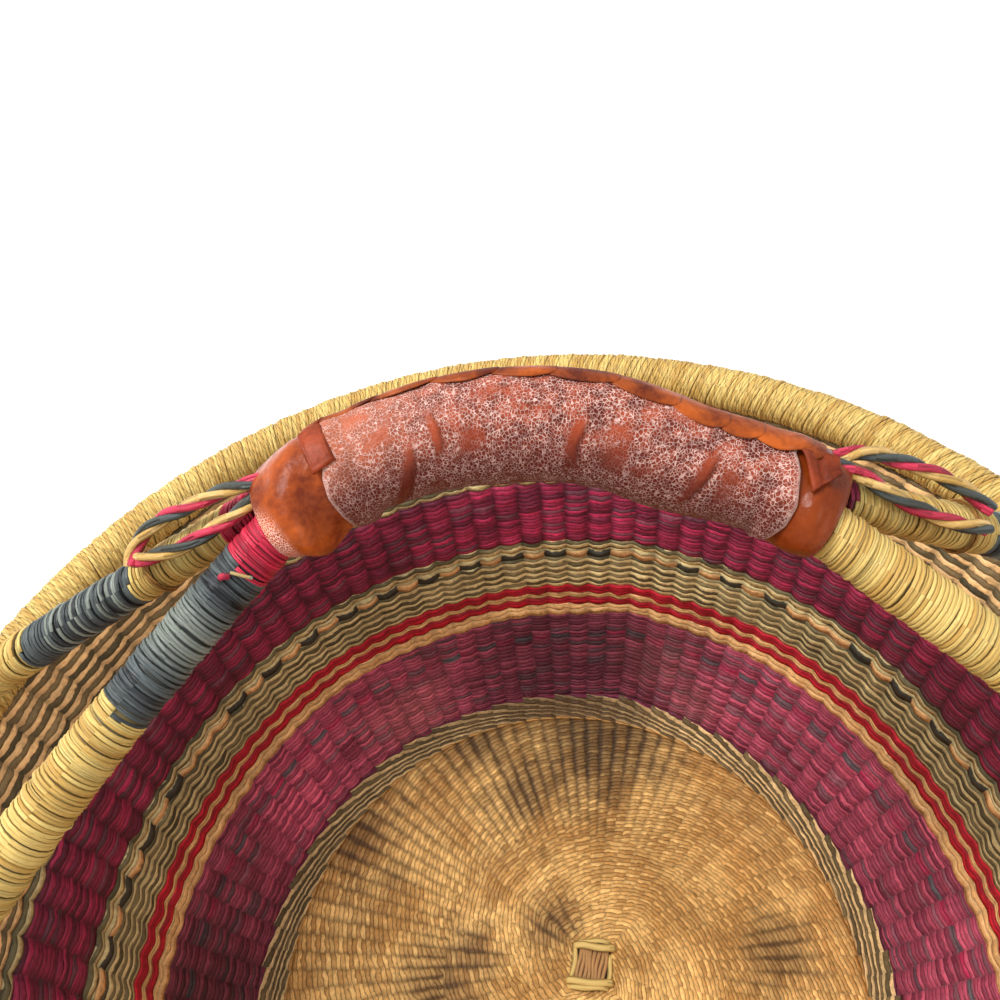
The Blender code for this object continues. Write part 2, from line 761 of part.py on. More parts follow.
def build_strip():
    """The folded and laced strip that lies along the crest of the grip."""
    rings = []
    for k, share in enumerate(spread(STRIP_LEFT_SHARE, STRIP_RIGHT_SHARE, STRIP_STATIONS)):
        along = share * GRIP_HALF
        _, up, front = arch_frame(along)
        tall, deep = grip_half(along)
        back_edge, front_edge = (left + (right - left) * k / (STRIP_STATIONS - 1)
                                 for left, right in (STRIP_BACK, STRIP_FRONT))
        ring = []
        for lift, start, end in ((GAP + STRIP_THICK, back_edge, front_edge),
                                 (GAP, front_edge, back_edge)):
            ring += ellipse(arch(along), up * (tall + lift), front * (deep + lift), STRIP_POINTS,
                            start, end)
        rings.append(ring)
    add("lacing_strip", loft("lacing_strip", rings), COLLAR, LEATHER_ROUGHNESS)


def build_tab(name, along):
    """A small leather tab that lies on a collar, towards the front of its crest."""
    direction, up, front = arch_frame(along)
    tall, deep = grip_half(along)
    cover = COLLAR_THICK + 2 * GAP
    spot = arch(along) + up * (tall + cover) * math.cos(TAB_TURN) \
        + front * (deep + cover) * math.sin(TAB_TURN)
    out = (up * math.cos(TAB_TURN) / (tall + cover)
           + front * math.sin(TAB_TURN) / (deep + cover)).normalized()
    across = out.cross(direction).normalized()
    item = add(name, block(name, (TAB_WIDE, TAB_LONG, TAB_THICK)), COLLAR, LEATHER_ROUGHNESS)
    turn = Matrix((direction, across, out)).transposed().to_4x4()
    item.matrix_world = Matrix.Translation(spot + out * TAB_THICK / 2) @ turn
    soft = item.modifiers.new("edges", "BEVEL")
    soft.width = TAB_CORNER
    soft.segments = 1


def collar_mouth(side):
    """The middle and half axes of a collar's mouth, which is wide enough for both legs."""
    along = collar_along(side, 1.0)
    direction, up, _ = arch_frame(along)
    across = leg_spread_direction(side)
    thin = direction.cross(across).normalized()
    if thin.dot(up) < 0:
        thin = -thin
    front_reach = point_along(leg_path(side, -1), MOUTH_DISTANCE)
    rear_reach = point_along(leg_path(side, 1), MOUTH_DISTANCE)
    middle = arch(along)
    low = (front_reach - middle).dot(across) - FRONT_CORE
    high = (rear_reach - middle).dot(across) + REAR_CORE
    cover = MOUTH_GAP + COLLAR_THICK
    return (middle + across * (low + high) / 2, thin * MOUTH_THIN,
            across * ((high - low) / 2 + cover))


def build():
    """The whole basket."""
    clear_scene()
    collection("bolga_basket")
    collection("cutters")
    build_floor()
    build_wall()
    build_rim()
    build_grip()
    build_legs(foot_cutter())
    build_cords()


build()
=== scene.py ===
"""Bolga basket: the woven bowl with its coloured bands, the wrapped rim, and the leather-gripped handle.

Metres, in the frame's own axes: +Z up, +Y towards the back, where the handle leans.
"""

import math

import bmesh
import bpy
import numpy as np
from mathutils import Matrix


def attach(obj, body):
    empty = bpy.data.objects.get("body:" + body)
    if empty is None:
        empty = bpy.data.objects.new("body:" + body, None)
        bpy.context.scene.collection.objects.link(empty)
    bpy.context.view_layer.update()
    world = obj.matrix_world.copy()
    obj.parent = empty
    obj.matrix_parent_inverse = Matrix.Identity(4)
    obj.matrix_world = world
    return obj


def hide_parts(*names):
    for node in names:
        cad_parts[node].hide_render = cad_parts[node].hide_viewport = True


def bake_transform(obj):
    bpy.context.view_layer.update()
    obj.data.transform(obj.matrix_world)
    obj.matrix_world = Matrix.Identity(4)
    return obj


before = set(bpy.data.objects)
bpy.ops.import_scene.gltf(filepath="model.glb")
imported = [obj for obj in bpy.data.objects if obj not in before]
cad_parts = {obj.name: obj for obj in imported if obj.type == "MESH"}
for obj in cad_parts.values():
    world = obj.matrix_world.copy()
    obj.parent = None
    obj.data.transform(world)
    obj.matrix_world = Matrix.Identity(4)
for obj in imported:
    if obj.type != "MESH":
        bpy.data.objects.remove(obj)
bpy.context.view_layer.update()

bl_info = {
    "name": "Bolga basket",
    "version": (1, 0, 0),
    "blender": (4, 5, 0),
    "location": "View3D > Sidebar > Basket",
    "description": "A market basket of twined straw with a leather-gripped handle",
    "category": "Add Mesh",
}

TAU = math.tau
Z_AXIS = np.array([0.0, 0.0, 1.0])
SIDES, PLACES = {-1: "left", 1: "right"}, {-1: "front", 1: "rear"}
# The four legs: side, place, and the words in their nodes' names
LEGS = [(side, place, f"{hand}_{word}") for side, hand in SIDES.items() for place, word in PLACES.items()]

# Sizes that the frame also has
RIM_RADIUS, RIM_HEIGHT, ROLL_RADIUS, WALL = 0.193, 0.185, 0.0088, 0.0045
WALL_KNOTS = np.array([(0.650, 0.0122), (0.720, 0.0443), (0.840, 0.277), (0.864, 0.392),
                       (0.877, 0.561), (0.907, 0.748), (1.0, 1.0)]) * (RIM_RADIUS, RIM_HEIGHT)
LEAN, HINGE_Y = math.radians(47), -0.015
GRIP_RISE, GRIP_HALF, GRIP_TOP = 0.123, 0.0745, -0.006
GRIP_DROP = (0.0262, 0.0212)
GRIP_TALL, GRIP_DEEP = (0.0150, 0.0122), (0.0122, 0.0112)
UP = np.array([0.0, math.sin(LEAN), math.cos(LEAN)])
FRONT = np.array([0.0, -math.cos(LEAN), math.sin(LEAN)])
LEG_CORE, LEG_BOW, LEG_APART = {-1: 0.0060, 1: 0.0050}, {-1: 0.35, 1: 0.30}, {-1: 0.0062, 1: 0.0056}
FOOT_RISE = 0.0115
FOOT_STEPS = {-1: -2.5, 1: 1.5}
RIGHT_START, RIGHT_CUT = 0.845, 0.035
WRAP_START = 0.0100
LEATHER_THICK = 0.0014
# The grip's straw core: its share of the grip's length, and how far it lies under the leather's face
CORE_SHARE, CORE_SINK = 0.845, 0.0021
# A collar's mouth: the share of the grip's half length where the legs go in, the distance along a
# leg, half its height, and how far it stands off the legs
LEG_SHARE, MOUTH_DEPTH, MOUTH_HALF, MOUTH_CLEAR = 0.93, 0.0056, 0.0108, 0.0039
GRIP_ROUND = 0.0135          # metres round the grip for a turn of one radian
# Stakes of the wall, and points round the ring for each of them
STAKES, PER_STAKE = 100, 8
COLUMNS = STAKES * PER_STAKE
# Strands of the floor, and the shares of the way out where its stakes double from 25
FLOOR_STRANDS, FLOOR_STEPS = 58, (0.16, 0.45)

# Bands of the wall: CAD node, first and last knot, strands, depth and sharpness of the ridges, look, slot
BANDS = (
    ("olive_ring", 0.0, 1.0, 9, 0.0008, 1.4, "ring", "olive_straw"),
    ("lower_plum_band", 1.0, 2.0, 26, 0.0012, 1.3, "lower_plum", "plum_straw"),
    ("stripe_tan_inner", 2.0, 2.23, 2, 0.0013, 1.5, "tan", "tan_straw"),
    ("stripe_red_inner", 2.23, 2.46, 2, 0.0013, 1.5, "red", "red_straw"),
    ("stripe_tan_outer", 2.46, 2.66, 2, 0.0013, 1.5, "tan", "tan_straw"),
    ("stripe_red_outer", 2.66, 2.95, 3, 0.0013, 1.5, "red", "red_straw"),
    ("olive_band", 2.95, 3.66, 10, 0.0014, 1.5, "olive", "olive_straw"),
    ("checker_row", 3.66, 3.84, 2, 0.0016, 1.3, "checker", "checker_straw"),
    ("olive_edge_row", 3.84, 4.0, 2, 0.0016, 1.2, "edge", "olive_straw"),
    ("upper_plum_band", 4.0, 5.0, 17, 0.0015, 1.1, "upper_plum", "plum_straw"),
    ("olive_top_row", 5.0, 5.1, 2, 0.0020, 1.0, "edge", "olive_straw"),
    ("neck_band", 5.1, 5.86, 18, 0.0018, 0.8, "neck", "straw"),
)


def linear(red, green, blue):
    """A colour given as the eye reads it, 0 to 255, turned into light."""
    values = np.array([red, green, blue]) / 255
    return tuple(np.where(values <= 0.04045, values / 12.92, ((values + 0.055) / 1.055) ** 2.4))


# ---- shader maths


class Socket:
    """A shader output that takes part in sums as a number does."""

    def __init__(self, look, link):
        self.look, self.link = look, link

    def _with(self, operation, *others):
        """The result of one shader sum of this value and others."""
        return self.look.node("ShaderNodeMath", {"operation": operation}, dict(enumerate((self, *others))))

    def __add__(self, other): return self._with("ADD", other)
    def __radd__(self, other): return self._with("ADD", other)
    def __sub__(self, other): return self._with("SUBTRACT", other)
    def __rsub__(self, other): return self * -1.0 + other
    def __mul__(self, other): return self._with("MULTIPLY", other)
    def __pow__(self, other): return self._with("POWER", other)
    def __mod__(self, other): return self._with("FLOORED_MODULO", other)
    def __gt__(self, other): return self._with("GREATER_THAN", other)
    def __lt__(self, other): return self._with("LESS_THAN", other)

    def floor(self): return self._with("FLOOR")
    def part(self): return self._with("FRACT")
    def abs(self): return self._with("ABSOLUTE")
    def sin(self): return self._with("SINE")
    def max(self, other): return self._with("MAXIMUM", other)
    def min(self, other): return self._with("MINIMUM", other)
    def clamp(self): return self.max(0.0).min(1.0)

    def ramp(self, low, high, out_low=0.0, out_high=1.0):
        """Goes smoothly from out_low at low to out_high at high."""
        return self.look.node("ShaderNodeMapRange", {"interpolation_type": "SMOOTHSTEP"},
                              {"Value": self, "From Min": low, "From Max": high,
                               "To Min": out_low, "To Max": out_high})


class Look:
    """A Principled material whose nodes are added by name."""

    def __init__(self, name, **constants):
        self.material = bpy.data.materials.new(name)
        self.material.use_nodes = True
        self.tree = self.material.node_tree
        self.shader = self.tree.nodes["Principled BSDF"]
        for socket, value in constants.items():
            self.shader.inputs[socket.replace("_", " ")].default_value = value

    def node(self, kind, settings=None, values=None, out=0):
        """Adds a node, sets it up, feeds its sockets, and gives back one output."""
        made = self.tree.nodes.new(kind)
        for key, value in (settings or {}).items():
            setattr(made, key, value)
        for key, value in (values or {}).items():
            self.feed(made.inputs[key], value)
        return Socket(self, made.outputs[out])

    def feed(self, socket, value):
        """Links a socket, or sets it to a plain value or to the colour setting of that name."""
        if isinstance(value, str):
            value = tuple(getattr(bpy.context.scene.basket_colours, value))
        if isinstance(value, Socket):
            self.tree.links.new(value.link, socket)
        elif isinstance(value, tuple) and len(value) == 3 and socket.type == "RGBA":
            socket.default_value = (*value, 1.0)
        else:
            socket.default_value = value

    def uv(self):
        """The piece's own two coordinates, along and across its pattern, as a vector."""
        return self.node("ShaderNodeUVMap", {"uv_map": "weave"})

    def place(self):
        """Object coordinates."""
        return self.node("ShaderNodeTexCoord", out="Object")

    def axes(self, vector):
        """The three values of a vector."""
        split = self.node("ShaderNodeSeparateXYZ", None, {0: vector})
        return [Socket(self, output) for output in split.link.node.outputs]

    def attribute(self, name):
        """A value kept at each point of the piece."""
        return self.node("ShaderNodeAttribute", {"attribute_name": name}, None, "Fac")

    def vector(self, x=0.0, y=0.0, z=0.0):
        """A vector of three values."""
        return self.node("ShaderNodeCombineXYZ", None, {0: x, 1: y, 2: z})

    def noise(self, vector, scale, detail=2.0, rough=0.5):
        """Noise between about 0.3 and 0.7."""
        return self.node("ShaderNodeTexNoise", None,
                         {"Vector": vector, "Scale": scale, "Detail": detail, "Roughness": rough})

    def dice(self, x, y=0.0):
        """A random number for each whole x and y."""
        return self.node("ShaderNodeTexWhiteNoise", {"noise_dimensions": "2D"},
                         {"Vector": self.vector(x, y)})

    def mix(self, share, first, second):
        """A blend of two colours."""
        return self.node("ShaderNodeMix", {"data_type": "RGBA"}, {0: share, 6: first, 7: second}, 2)

    def shade(self, colour, amount):
        """A colour made darker or lighter by a factor."""
        tone = self.vector(amount, amount, amount)
        return self.node("ShaderNodeMix", {"data_type": "RGBA", "blend_type": "MULTIPLY"},
                         {0: 1.0, 6: colour, 7: tone}, 2)

    def bump(self, height, distance, strength=0.9):
        """A bump from a height in units of the distance."""
        return self.node("ShaderNodeBump", None,
                         {"Height": height, "Distance": distance, "Strength": strength})

    def finish(self, colour, normal, roughness=None):
        """Feeds the shader."""
        self.feed(self.shader.inputs["Base Color"], colour)
        self.feed(self.shader.inputs["Normal"], normal)
        if roughness is not None:
            self.feed(self.shader.inputs["Roughness"], roughness)
        return self.material


# ---- meshes


def grid(name, points, look, uv=None, closed=True):
    """A smooth object of a grid of points (rows, columns, 3), with its faces outwards.

    Its columns meet at a seam; its rows meet too, or are capped at both ends. UV is one pair per
    point, carried past the seams.
    """
    rows, columns = points.shape[:2]
    r, c = np.arange(rows if closed else rows - 1)[:, None], np.arange(columns)
    corners = [(r, c), (r, c + 1), (r + 1, c + 1), (r + 1, c)]
    faces = np.stack([(a % rows) * columns + b % columns for a, b in corners], -1).reshape(-1, 4).tolist()
    if not closed:
        faces += [list(range(columns)), list(range((rows - 1) * columns, rows * columns))]
    mesh = bpy.data.meshes.new(name)
    mesh.from_pydata(points.reshape(-1, 3), [], faces)
    if uv is not None:
        flat = np.stack([uv[a, b] for a, b in corners], 2).reshape(-1, 2)
        spare = np.zeros((len(mesh.loops) - len(flat), 2))
        mesh.uv_layers.new(name="weave").data.foreach_set("uv", np.vstack([flat, spare]).ravel())
    shape = bmesh.new()
    shape.from_mesh(mesh)
    bmesh.ops.recalc_face_normals(shape, faces=shape.faces)
    shape.to_mesh(mesh)
    shape.free()
    mesh.shade_smooth()
    mesh.materials.append(look)
    made = bpy.data.objects.new(name, mesh)
    bpy.context.scene.collection.objects.link(made)
    return made


def joined(name, parts):
    """Several objects made one."""
    for item in bpy.context.selected_objects:
        item.select_set(False)
    for item in parts:
        item.select_set(True)
    bpy.context.view_layer.objects.active = parts[0]
    bpy.ops.object.join()
    parts[0].name = name
    return parts[0]


def keep(piece, name, *values):
    """Keeps a value at each point of a piece, from the grids of its faces."""
    flat = np.concatenate(values).ravel()
    piece.data.attributes.new(name, "FLOAT", "POINT").data.foreach_set("value", flat)


def unit(vectors):
    """Vectors made one long."""
    return vectors / np.linalg.norm(vectors, axis=-1, keepdims=True)


def bell(value, middle, width):
    """1 at the middle, falling off to both sides."""
    return np.exp(-((value - middle) / width) ** 2)


def hermite(a, b, slope_a, slope_b, u):
    """The cubic from a to b with these end slopes."""
    return ((2 * u**3 - 3 * u**2 + 1) * a + (u**3 - 2 * u**2 + u) * slope_a
            + (3 * u**2 - 2 * u**3) * b + (u**3 - u**2) * slope_b)


def curve(spots, place, first=None):
    """Points on a smooth curve through spots, at places counted in spots; first is its first slope."""
    first = spots[1:2] - spots[:1] if first is None else first
    slopes = np.vstack([first, (spots[2:] - spots[:-2]) / 2, spots[-1:] - spots[-2:-1]])
    low = np.clip(place.astype(int), 0, len(spots) - 2)
    return hermite(spots[low], spots[low + 1], slopes[low], slopes[low + 1], (place - low)[..., None])


def smooth_route(spots, count):
    """This many points on the whole of a smooth curve through spots."""
    return curve(spots, np.linspace(0, len(spots) - 1, count))


def wall_curve(place):
    """Radius and height, and outward normal, of the wall's middle line, at places counted in knots."""
    level = [[np.linalg.norm(WALL_KNOTS[1] - WALL_KNOTS[0]), 0.0]]
    here, after, before = (curve(WALL_KNOTS, place + step, level) for step in (0.0, 1e-3, -1e-3))
    along = unit(after - before)
    return here, np.stack([along[..., 1], -along[..., 0]], -1)


def waves(angle, seed, lowest, highest):
    """A slow wander round the ring: a sum of sines with seeded sizes and starts."""
    dice = np.random.RandomState(seed)
    total = 0.0
    for k in range(lowest, highest):
        total = total + dice.uniform(0.3, 1.0) / k * np.sin(k * angle + dice.uniform(0, TAU))
    return total


def stake_ridge(count, sharp):
    """How far the weave bulges over a stake: 0 between two stakes and 1 over one."""
    return np.abs(np.sin(math.pi * count)) ** sharp


def skin_uv(across):
    """UV of a woven skin: stakes round the ring, and these values up one face and down the other."""
    uv = np.zeros((2 * len(across) + 1, COLUMNS + 1, 2))
    uv[..., 0] = np.arange(COLUMNS + 1) / PER_STAKE
    uv[..., 1] = np.r_[across, across[::-1], 0][:, None]
    return uv


def woven_band(name, start, end, strands, depth, sharp, look, seed):
    """A ring of weave: the wall's section carried round, bulging over each stake, inside and out.

    Each stretch of a strand over one stake bulges by its own amount, and all rows rise and sink a
    little round the ring, most of all at two places behind the handle.
    """
    count = np.arange(COLUMNS) / PER_STAKE
    angle = count / STAKES * TAU
    rows = np.linspace(start, end, strands + 1)
    dice = np.random.RandomState(seed)
    bulge = dice.normal(1.0, 0.22, (strands + 1, STAKES))[:, count.astype(int)]
    kink = bell(np.degrees(angle), 79, 5) * 0.10 - 0.05 * bell(angle, 2.0, 0.2)
    middle = np.sin(np.clip(rows / 5, 0, 1) * math.pi)[:, None]
    spot, normal = wall_curve(rows[:, None] + (0.045 * waves(angle, 5, 2, 9) + kink) * middle)
    half = (WALL / 2 + depth * (stake_ridge(count, sharp) * bulge - 0.55))[..., None]
    section = np.vstack([spot - normal * half, (spot + normal * half)[::-1]])
    radius, height = section[..., 0], np.maximum(section[..., 1], 0.0)
    points = np.stack([radius * np.cos(angle), radius * np.sin(angle), height], -1)
    return grid(name, points, look, skin_uv(np.arange(strands + 1)))


def woven_floor(name, middle, side, look):
    """The floor: rows round the start square, out to the floor's edge, with radial ridges.

    A point is the middle plus a share t of the way to the edge; the ridges number 25, 50, then 100.
    """
    angle = np.arange(COLUMNS) / COLUMNS * TAU
    round_it = np.stack([np.cos(angle), np.sin(angle)], -1)
    edge = WALL_KNOTS[0, 0] * round_it
    inner = middle + side / 2 / np.abs(round_it).max(axis=-1, keepdims=True) * round_it
    t = np.linspace(0.0, 1.0, 52)
    share = t[:, None]
    flat = inner * (1 - share[..., None]) + edge * share[..., None]
    ridges = np.select([share < step for step in FLOOR_STEPS], (STAKES / 4, STAKES / 2), STAKES)
    height = np.clip(0.2 + share * 1.6, 0, 1) * 0.0004
    lift = height * (stake_ridge(ridges * angle / TAU, 1.3) - 0.5) * np.clip((1 - share) * 12, 0, 1)
    upper = np.dstack([flat, np.maximum(WALL + lift - 0.0002, 0.003)])
    lower = np.dstack([flat, np.maximum(0.0004 - lift * 0.8, 0.0)])[::-1]
    return grid(name, np.concatenate([upper, lower]), look, skin_uv(t * FLOOR_STRANDS))


def frames_along(path):
    """Direction of a path, and two unit vectors across it, the first towards the grip's front."""
    direction = unit(np.gradient(path, axis=0))
    first = unit(FRONT - direction * (direction @ FRONT)[:, None])
    return direction, first, np.cross(direction, first)


def measure(path):
    """Distance along a path at each of its points."""
    return np.r_[0.0, np.cumsum(np.linalg.norm(np.diff(path, axis=0), axis=1))]


def carried(path, distance, values):
    """Values given at each point of a path, at these distances along it."""
    s = measure(path)
    return np.stack([np.interp(distance, s, column) for column in values.T], -1)


def sample(path, distance):
    """Points of a path at these distances, with straight ends carried on."""
    after = np.maximum(distance - measure(path)[-1], 0)[:, None] * unit(path[-1] - path[-2])
    before = np.minimum(distance, 0)[:, None] * unit(path[1] - path[0])
    return carried(path, distance, path) + after + before


def tube(name, path, across, width, thick, uv_step, look, sides=8, tone=None, closed=False):
    """A rod along a path, oval in section: width along its side vector, thick along across.

    A tone in place of the UV's second value gives the whole rod the look of one side of a straw.
    """
    ahead = np.roll(path, -1, axis=0) - np.roll(path, 1, axis=0) if closed else np.gradient(path, axis=0)
    direction = unit(ahead)
    first = unit(across - direction * (across * direction).sum(-1, keepdims=True))
    second = np.cross(direction, first)
    turn = np.arange(sides)[:, None] / sides * TAU
    points = (path[:, None] + first[:, None] * np.cos(turn) * thick
              + second[:, None] * np.sin(turn) * width)
    uv = np.zeros((len(path) + closed, sides + 1, 2))
    uv[..., 0] = (np.arange(len(uv)) * uv_step)[:, None]
    uv[..., 1] = np.arange(sides + 1) / sides if tone is None else tone
    return grid(name, points, look, uv, closed)


def winding(name, path, radius, start, end, look, seed, slant, pitch=0.0012, lean=0.6, rough=0.00022,
            under_shade=True, uneven=0.2):
    """A straw wound round a path, turn by turn, over a layer in the straw's dark underside tone: painted
    shade in the gaps between the turns.

    Each turn goes once round at its own small radius and place, and slides along the path by a
    slant times the sine of its turn, so it crosses the front at an angle; the slants are uneven by
    a share of the pitch.
    """
    turns, steps = max(2, int(round((end - start) / pitch))), 18
    dice = np.random.RandomState(seed)
    turn = np.arange(turns * steps + 1) / steps
    halves = np.arange(2 * turns + 3)
    slide = np.interp(turn, halves[:turns + 2], dice.normal(0, pitch * 0.09, turns + 2))
    rise = np.interp(turn * 2, halves, dice.normal(0, rough, len(halves)))
    slants = np.interp(turn * 2, halves, dice.normal(slant, pitch * uneven, len(halves)))
    around = TAU * turn
    distance = start + (end - start) * turn / turns + slide + slants * np.sin(around + lean)
    first, second = (unit(carried(path, distance, v)) for v in frames_along(path)[1:])
    out = first * np.cos(around)[:, None] + second * np.sin(around)[:, None]
    centre = sample(path, distance) + out * (radius + pitch * 0.5 + rise)[:, None]
    straw = tube(name, centre, out, pitch * 0.6, pitch * 0.62, 1 / steps, look, sides=6)
    if not under_shade:
        return straw
    # The layer under the turns, in the straw's dark underside tone: painted shade in the gaps between
    # turns.
    line = sample(path, np.linspace(start - 0.001, end + 0.001, 30))
    layer = radius + pitch * 0.3
    return joined(name, [straw, tube(name, line, frames_along(line)[1], layer, layer, 1.0, look, sides=20,
                                     tone=0.5)])


def beside(path, route, side):
    """Points beside a leg, from rows of distance along it, distance from its middle line, degrees."""
    route = np.array(route)
    first, second = (carried(path, route[:, 0], v) for v in frames_along(path)[1:])
    turn = np.radians(route[:, 2:])
    out = first * np.cos(turn) - second * side * np.sin(turn)
    return sample(path, route[:, 0]) + out * route[:, 1:2]


# ---- the handle's lines, as in the CAD


def arch(along):
    """The grip's middle line: a parabola in the leaning plane, with a soft dip on the right."""
    along = np.asarray(along, float)
    drop = np.where(along < GRIP_TOP, *GRIP_DROP)
    height = GRIP_RISE - drop * ((along - GRIP_TOP) / GRIP_HALF) ** 2
    height = height - 0.0026 * bell(along, 0.037, 0.016)
    base = np.stack([along, np.full_like(along, HINGE_Y), np.full_like(along, RIM_HEIGHT)], -1)
    return base + UP * height[..., None]


def arch_frame(along):
    """Direction of the arch and the way up across it, in its plane."""
    along = np.asarray(along, float)
    direction = unit(arch(along + 1e-4) - arch(along - 1e-4))
    return direction, unit(np.cross(FRONT, direction))


def grip_axes(along):
    """The grip's half height and half depth at places along it."""
    share = np.minimum(np.abs(along) / GRIP_HALF, 1) ** 2
    return [middle + (end - middle) * share for middle, end in (GRIP_TALL, GRIP_DEEP)]


def grip_surface(along, turn, lift):
    """Points round the grip: turn 0 is the crest, and a quarter turn faces the front."""
    tall, deep = (axis + lift for axis in grip_axes(along))
    return (arch(along) + arch_frame(along)[1] * (tall * np.cos(turn))[..., None]
            + FRONT * (deep * np.sin(turn))[..., None])


def collar_along(side, share):
    """The place along the grip of a share of its half length; the right collar is a little shorter."""
    if side > 0:
        share -= RIGHT_CUT * max(share - RIGHT_START, 0.0) / (1 - RIGHT_START)
    return side * share * GRIP_HALF


def foot_turn(side, place):
    """Where a leg's foot lies round the ring, seen from the hinge's end, towards the back."""
    return (FOOT_STEPS[place] + side) * TAU / 40


def spread_direction(side):
    """Across a collar's mouth, from the front leg to the rear one."""
    direction, _ = arch_frame(collar_along(side, 1.0))
    back = np.array([0.0, 1.0, 0.0])
    return unit(back - direction * (back @ direction))


def leg_path(side, place):
    """A leg's middle line from inside the collar to its foot, as in the CAD."""
    along = collar_along(side, LEG_SHARE)
    start = arch(along) + spread_direction(side) * LEG_APART[place] * place
    turn = foot_turn(side, place)
    foot = np.array([side * RIM_RADIUS * math.cos(turn), RIM_RADIUS * math.sin(turn),
                     RIM_HEIGHT + FOOT_RISE])
    chord, bow = foot - start, LEG_BOW[place]
    bend = np.linalg.norm(chord) * bow
    leaving = arch_frame(along)[0] * side * bend + chord * (1 - bow)
    arriving = chord * (1 - bow) - Z_AXIS * bend
    return hermite(start, foot, leaving, arriving, np.linspace(0, 1, 160)[:, None])


BEND_SHARES = 0.12, 0.86     # where a leg's bend starts and ends, from its foot to the collar


def bends(piece, slot, leg, *nodes):
    """A piece of straw on a leg, between the rim and the grip, baked into the world in place of CAD nodes.
    """
    start, end = (tuple(leg[-1] + (leg[0] - leg[-1]) * share) for share in BEND_SHARES)
    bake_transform(piece)
    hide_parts(*nodes)


def rides(piece, body, slot, *nodes):
    """A piece that moves with a body, in place of CAD nodes."""
    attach(piece, body)
    if nodes:
        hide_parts(*nodes)


# ---- looks

# Heights of the bumps, in metres, and plies in a turn of the rim's straw
STRAW_BUMP, LEATHER_BUMP, RIM_PLIES = 0.0006, 0.0008, 9.0

# Bands whose strands have two colours by turns: name, the colours, the slant over a stake, how light
# the painted shade leaves the seams and the gaps, how uneven the strands are, and how much painted
# light brightens them behind the handle
PLAIN_LOOKS = {
    "tan": ("pale stripe", "tan", "tan_dark", 0.1, 0.66, 0.85, 0.3, 0.0),
    "red": ("crimson stripe", "red", "red_dark", 0.1, 0.66, 0.85, 0.3, 0.0),
    "olive": ("olive rows", "olive", "olive_dark", 0.1, 0.55, 0.85, 0.35, 0.5),
    "edge": ("edge rows", "olive", "olive_dark", 0.1, 0.6, 0.8, 0.3, 0.35),
    "neck": ("neck rows", "tan", "olive_dark", 0.15, 0.45, 0.7, 0.4, 0.0),
}

# Blots of stain and wear, and patches of painted light and painted shade: x, y, z and radius, in
# millimetres
OLIVE_PAINTED_LIGHT = ((10, 172, 84, 150),)
UPPER_PLUM_PAINTED_LIGHT = ((10, 182, 120, 150),)
RING_PAINTED_SHADE = ((0, 132, 10, 90),)
LOWER_PLUM_WORN = (47, 143, 30, 30), (62, 130, 17, 26), (-79, 118, 20, 40)
LOWER_PLUM_SHADED = (-10, 150, 28, 90), (20, 146, 28, 80), (-150, -30, 34, 120)
LOWER_PLUM_PAINTED_SHEEN = ((-130, 74, 26, 44),)
FLOOR_STAINED = ((12, 108, 4, 44), (-24, 84, 4, 30), (-57, -5, 4, 34), (-44, 10, 4, 24), (92, 16, 4, 26),
                 (-52, 112, 4, 34), (36, 116, 4, 30), (-8, 24, 4, 20), (-104, 62, 4, 34))
FLOOR_SHADED = ((4, 132, 4, 80),)


def size_of(name):
    """A size from the panel's settings."""
    return getattr(bpy.context.scene.basket_sizes, name)


def spots(look, spread, centres):
    """How much of a blot lies here, up to a spread: rough at its edge, and fading outwards."""
    place = look.place()
    rough = look.noise(place, 90.0, 4.0, 0.7) * 2.2 - 0.1
    total = 0.0
    for *middle, radius in centres:
        far = look.node("ShaderNodeVectorMath", {"operation": "DISTANCE"},
                        {0: place, 1: tuple(v / 1000 for v in middle)}, "Value")
        total = (far * rough).ramp(0.0, radius / 1000, 1, 0).max(total)
    return total * spread


def twine(look, u, v, slant, slope=0.0, per_stake=1.0):
    """Of twined strands: the stake's and row's numbers, how near a strand's middle, and a stake's.

    Rows rise by a slope per stake, and slant over each one; both wander a little.
    """
    place = look.place()
    drift = look.noise(place, 45.0, 1.0) - 0.5
    shake = look.noise(place, 260.0, 2.0) - 0.5
    count = u * per_stake + shake * 0.35
    line = v + u * slope + (count.part() - 0.5) * slant + drift * 1.4 + shake * 0.8
    across = line.part() * 2 - 1
    return count.floor(), line.floor(), 1 - across * across, (count * math.pi).sin().abs()


def weave_look(name, roughness, slant, slope=0.0, scale=1.0):
    """A look for a band, with its two coordinates and its strands as twine gives them."""
    look = Look(name, Roughness=roughness, Specular_IOR_Level=0.35)
    u, v, _ = look.axes(look.uv())
    return look, u, v, twine(look, u, v * scale, slant, slope)


def paint_weave(look, colour, u, v, parts, seam_shade, gap_shade, spread):
    """Finishes a look of strands: painted shade in the seams and the gaps, uneven tones, fibres, and
    rounded strands.
    """
    stake, row, swell, over = parts
    place = look.place()
    fibre = look.noise(look.vector(u * 1.6, v * 7.0), 1.0, 4.0, 0.65)
    tone = look.dice(stake, row) * spread + (1 - spread / 2)
    tone = tone * (fibre * 1.2 + 0.4) * (look.noise(place, 30.0, 3.0) * 0.8 + 0.6)
    tone = tone * (look.noise(place, 520.0, 3.0, 0.6) * 1.2 + 0.4)
    # Painted shade: darker at the seams between strands and in the gaps between stakes.
    tone = tone * swell.ramp(0.0, 0.6, seam_shade, 1.0) * over.ramp(0.0, 0.75, gap_shade, 1.0)
    height = swell ** 0.5 * (over * 0.5 + 0.5) + fibre * 0.5
    return look.finish(look.shade(colour, tone), look.bump(height, STRAW_BUMP))


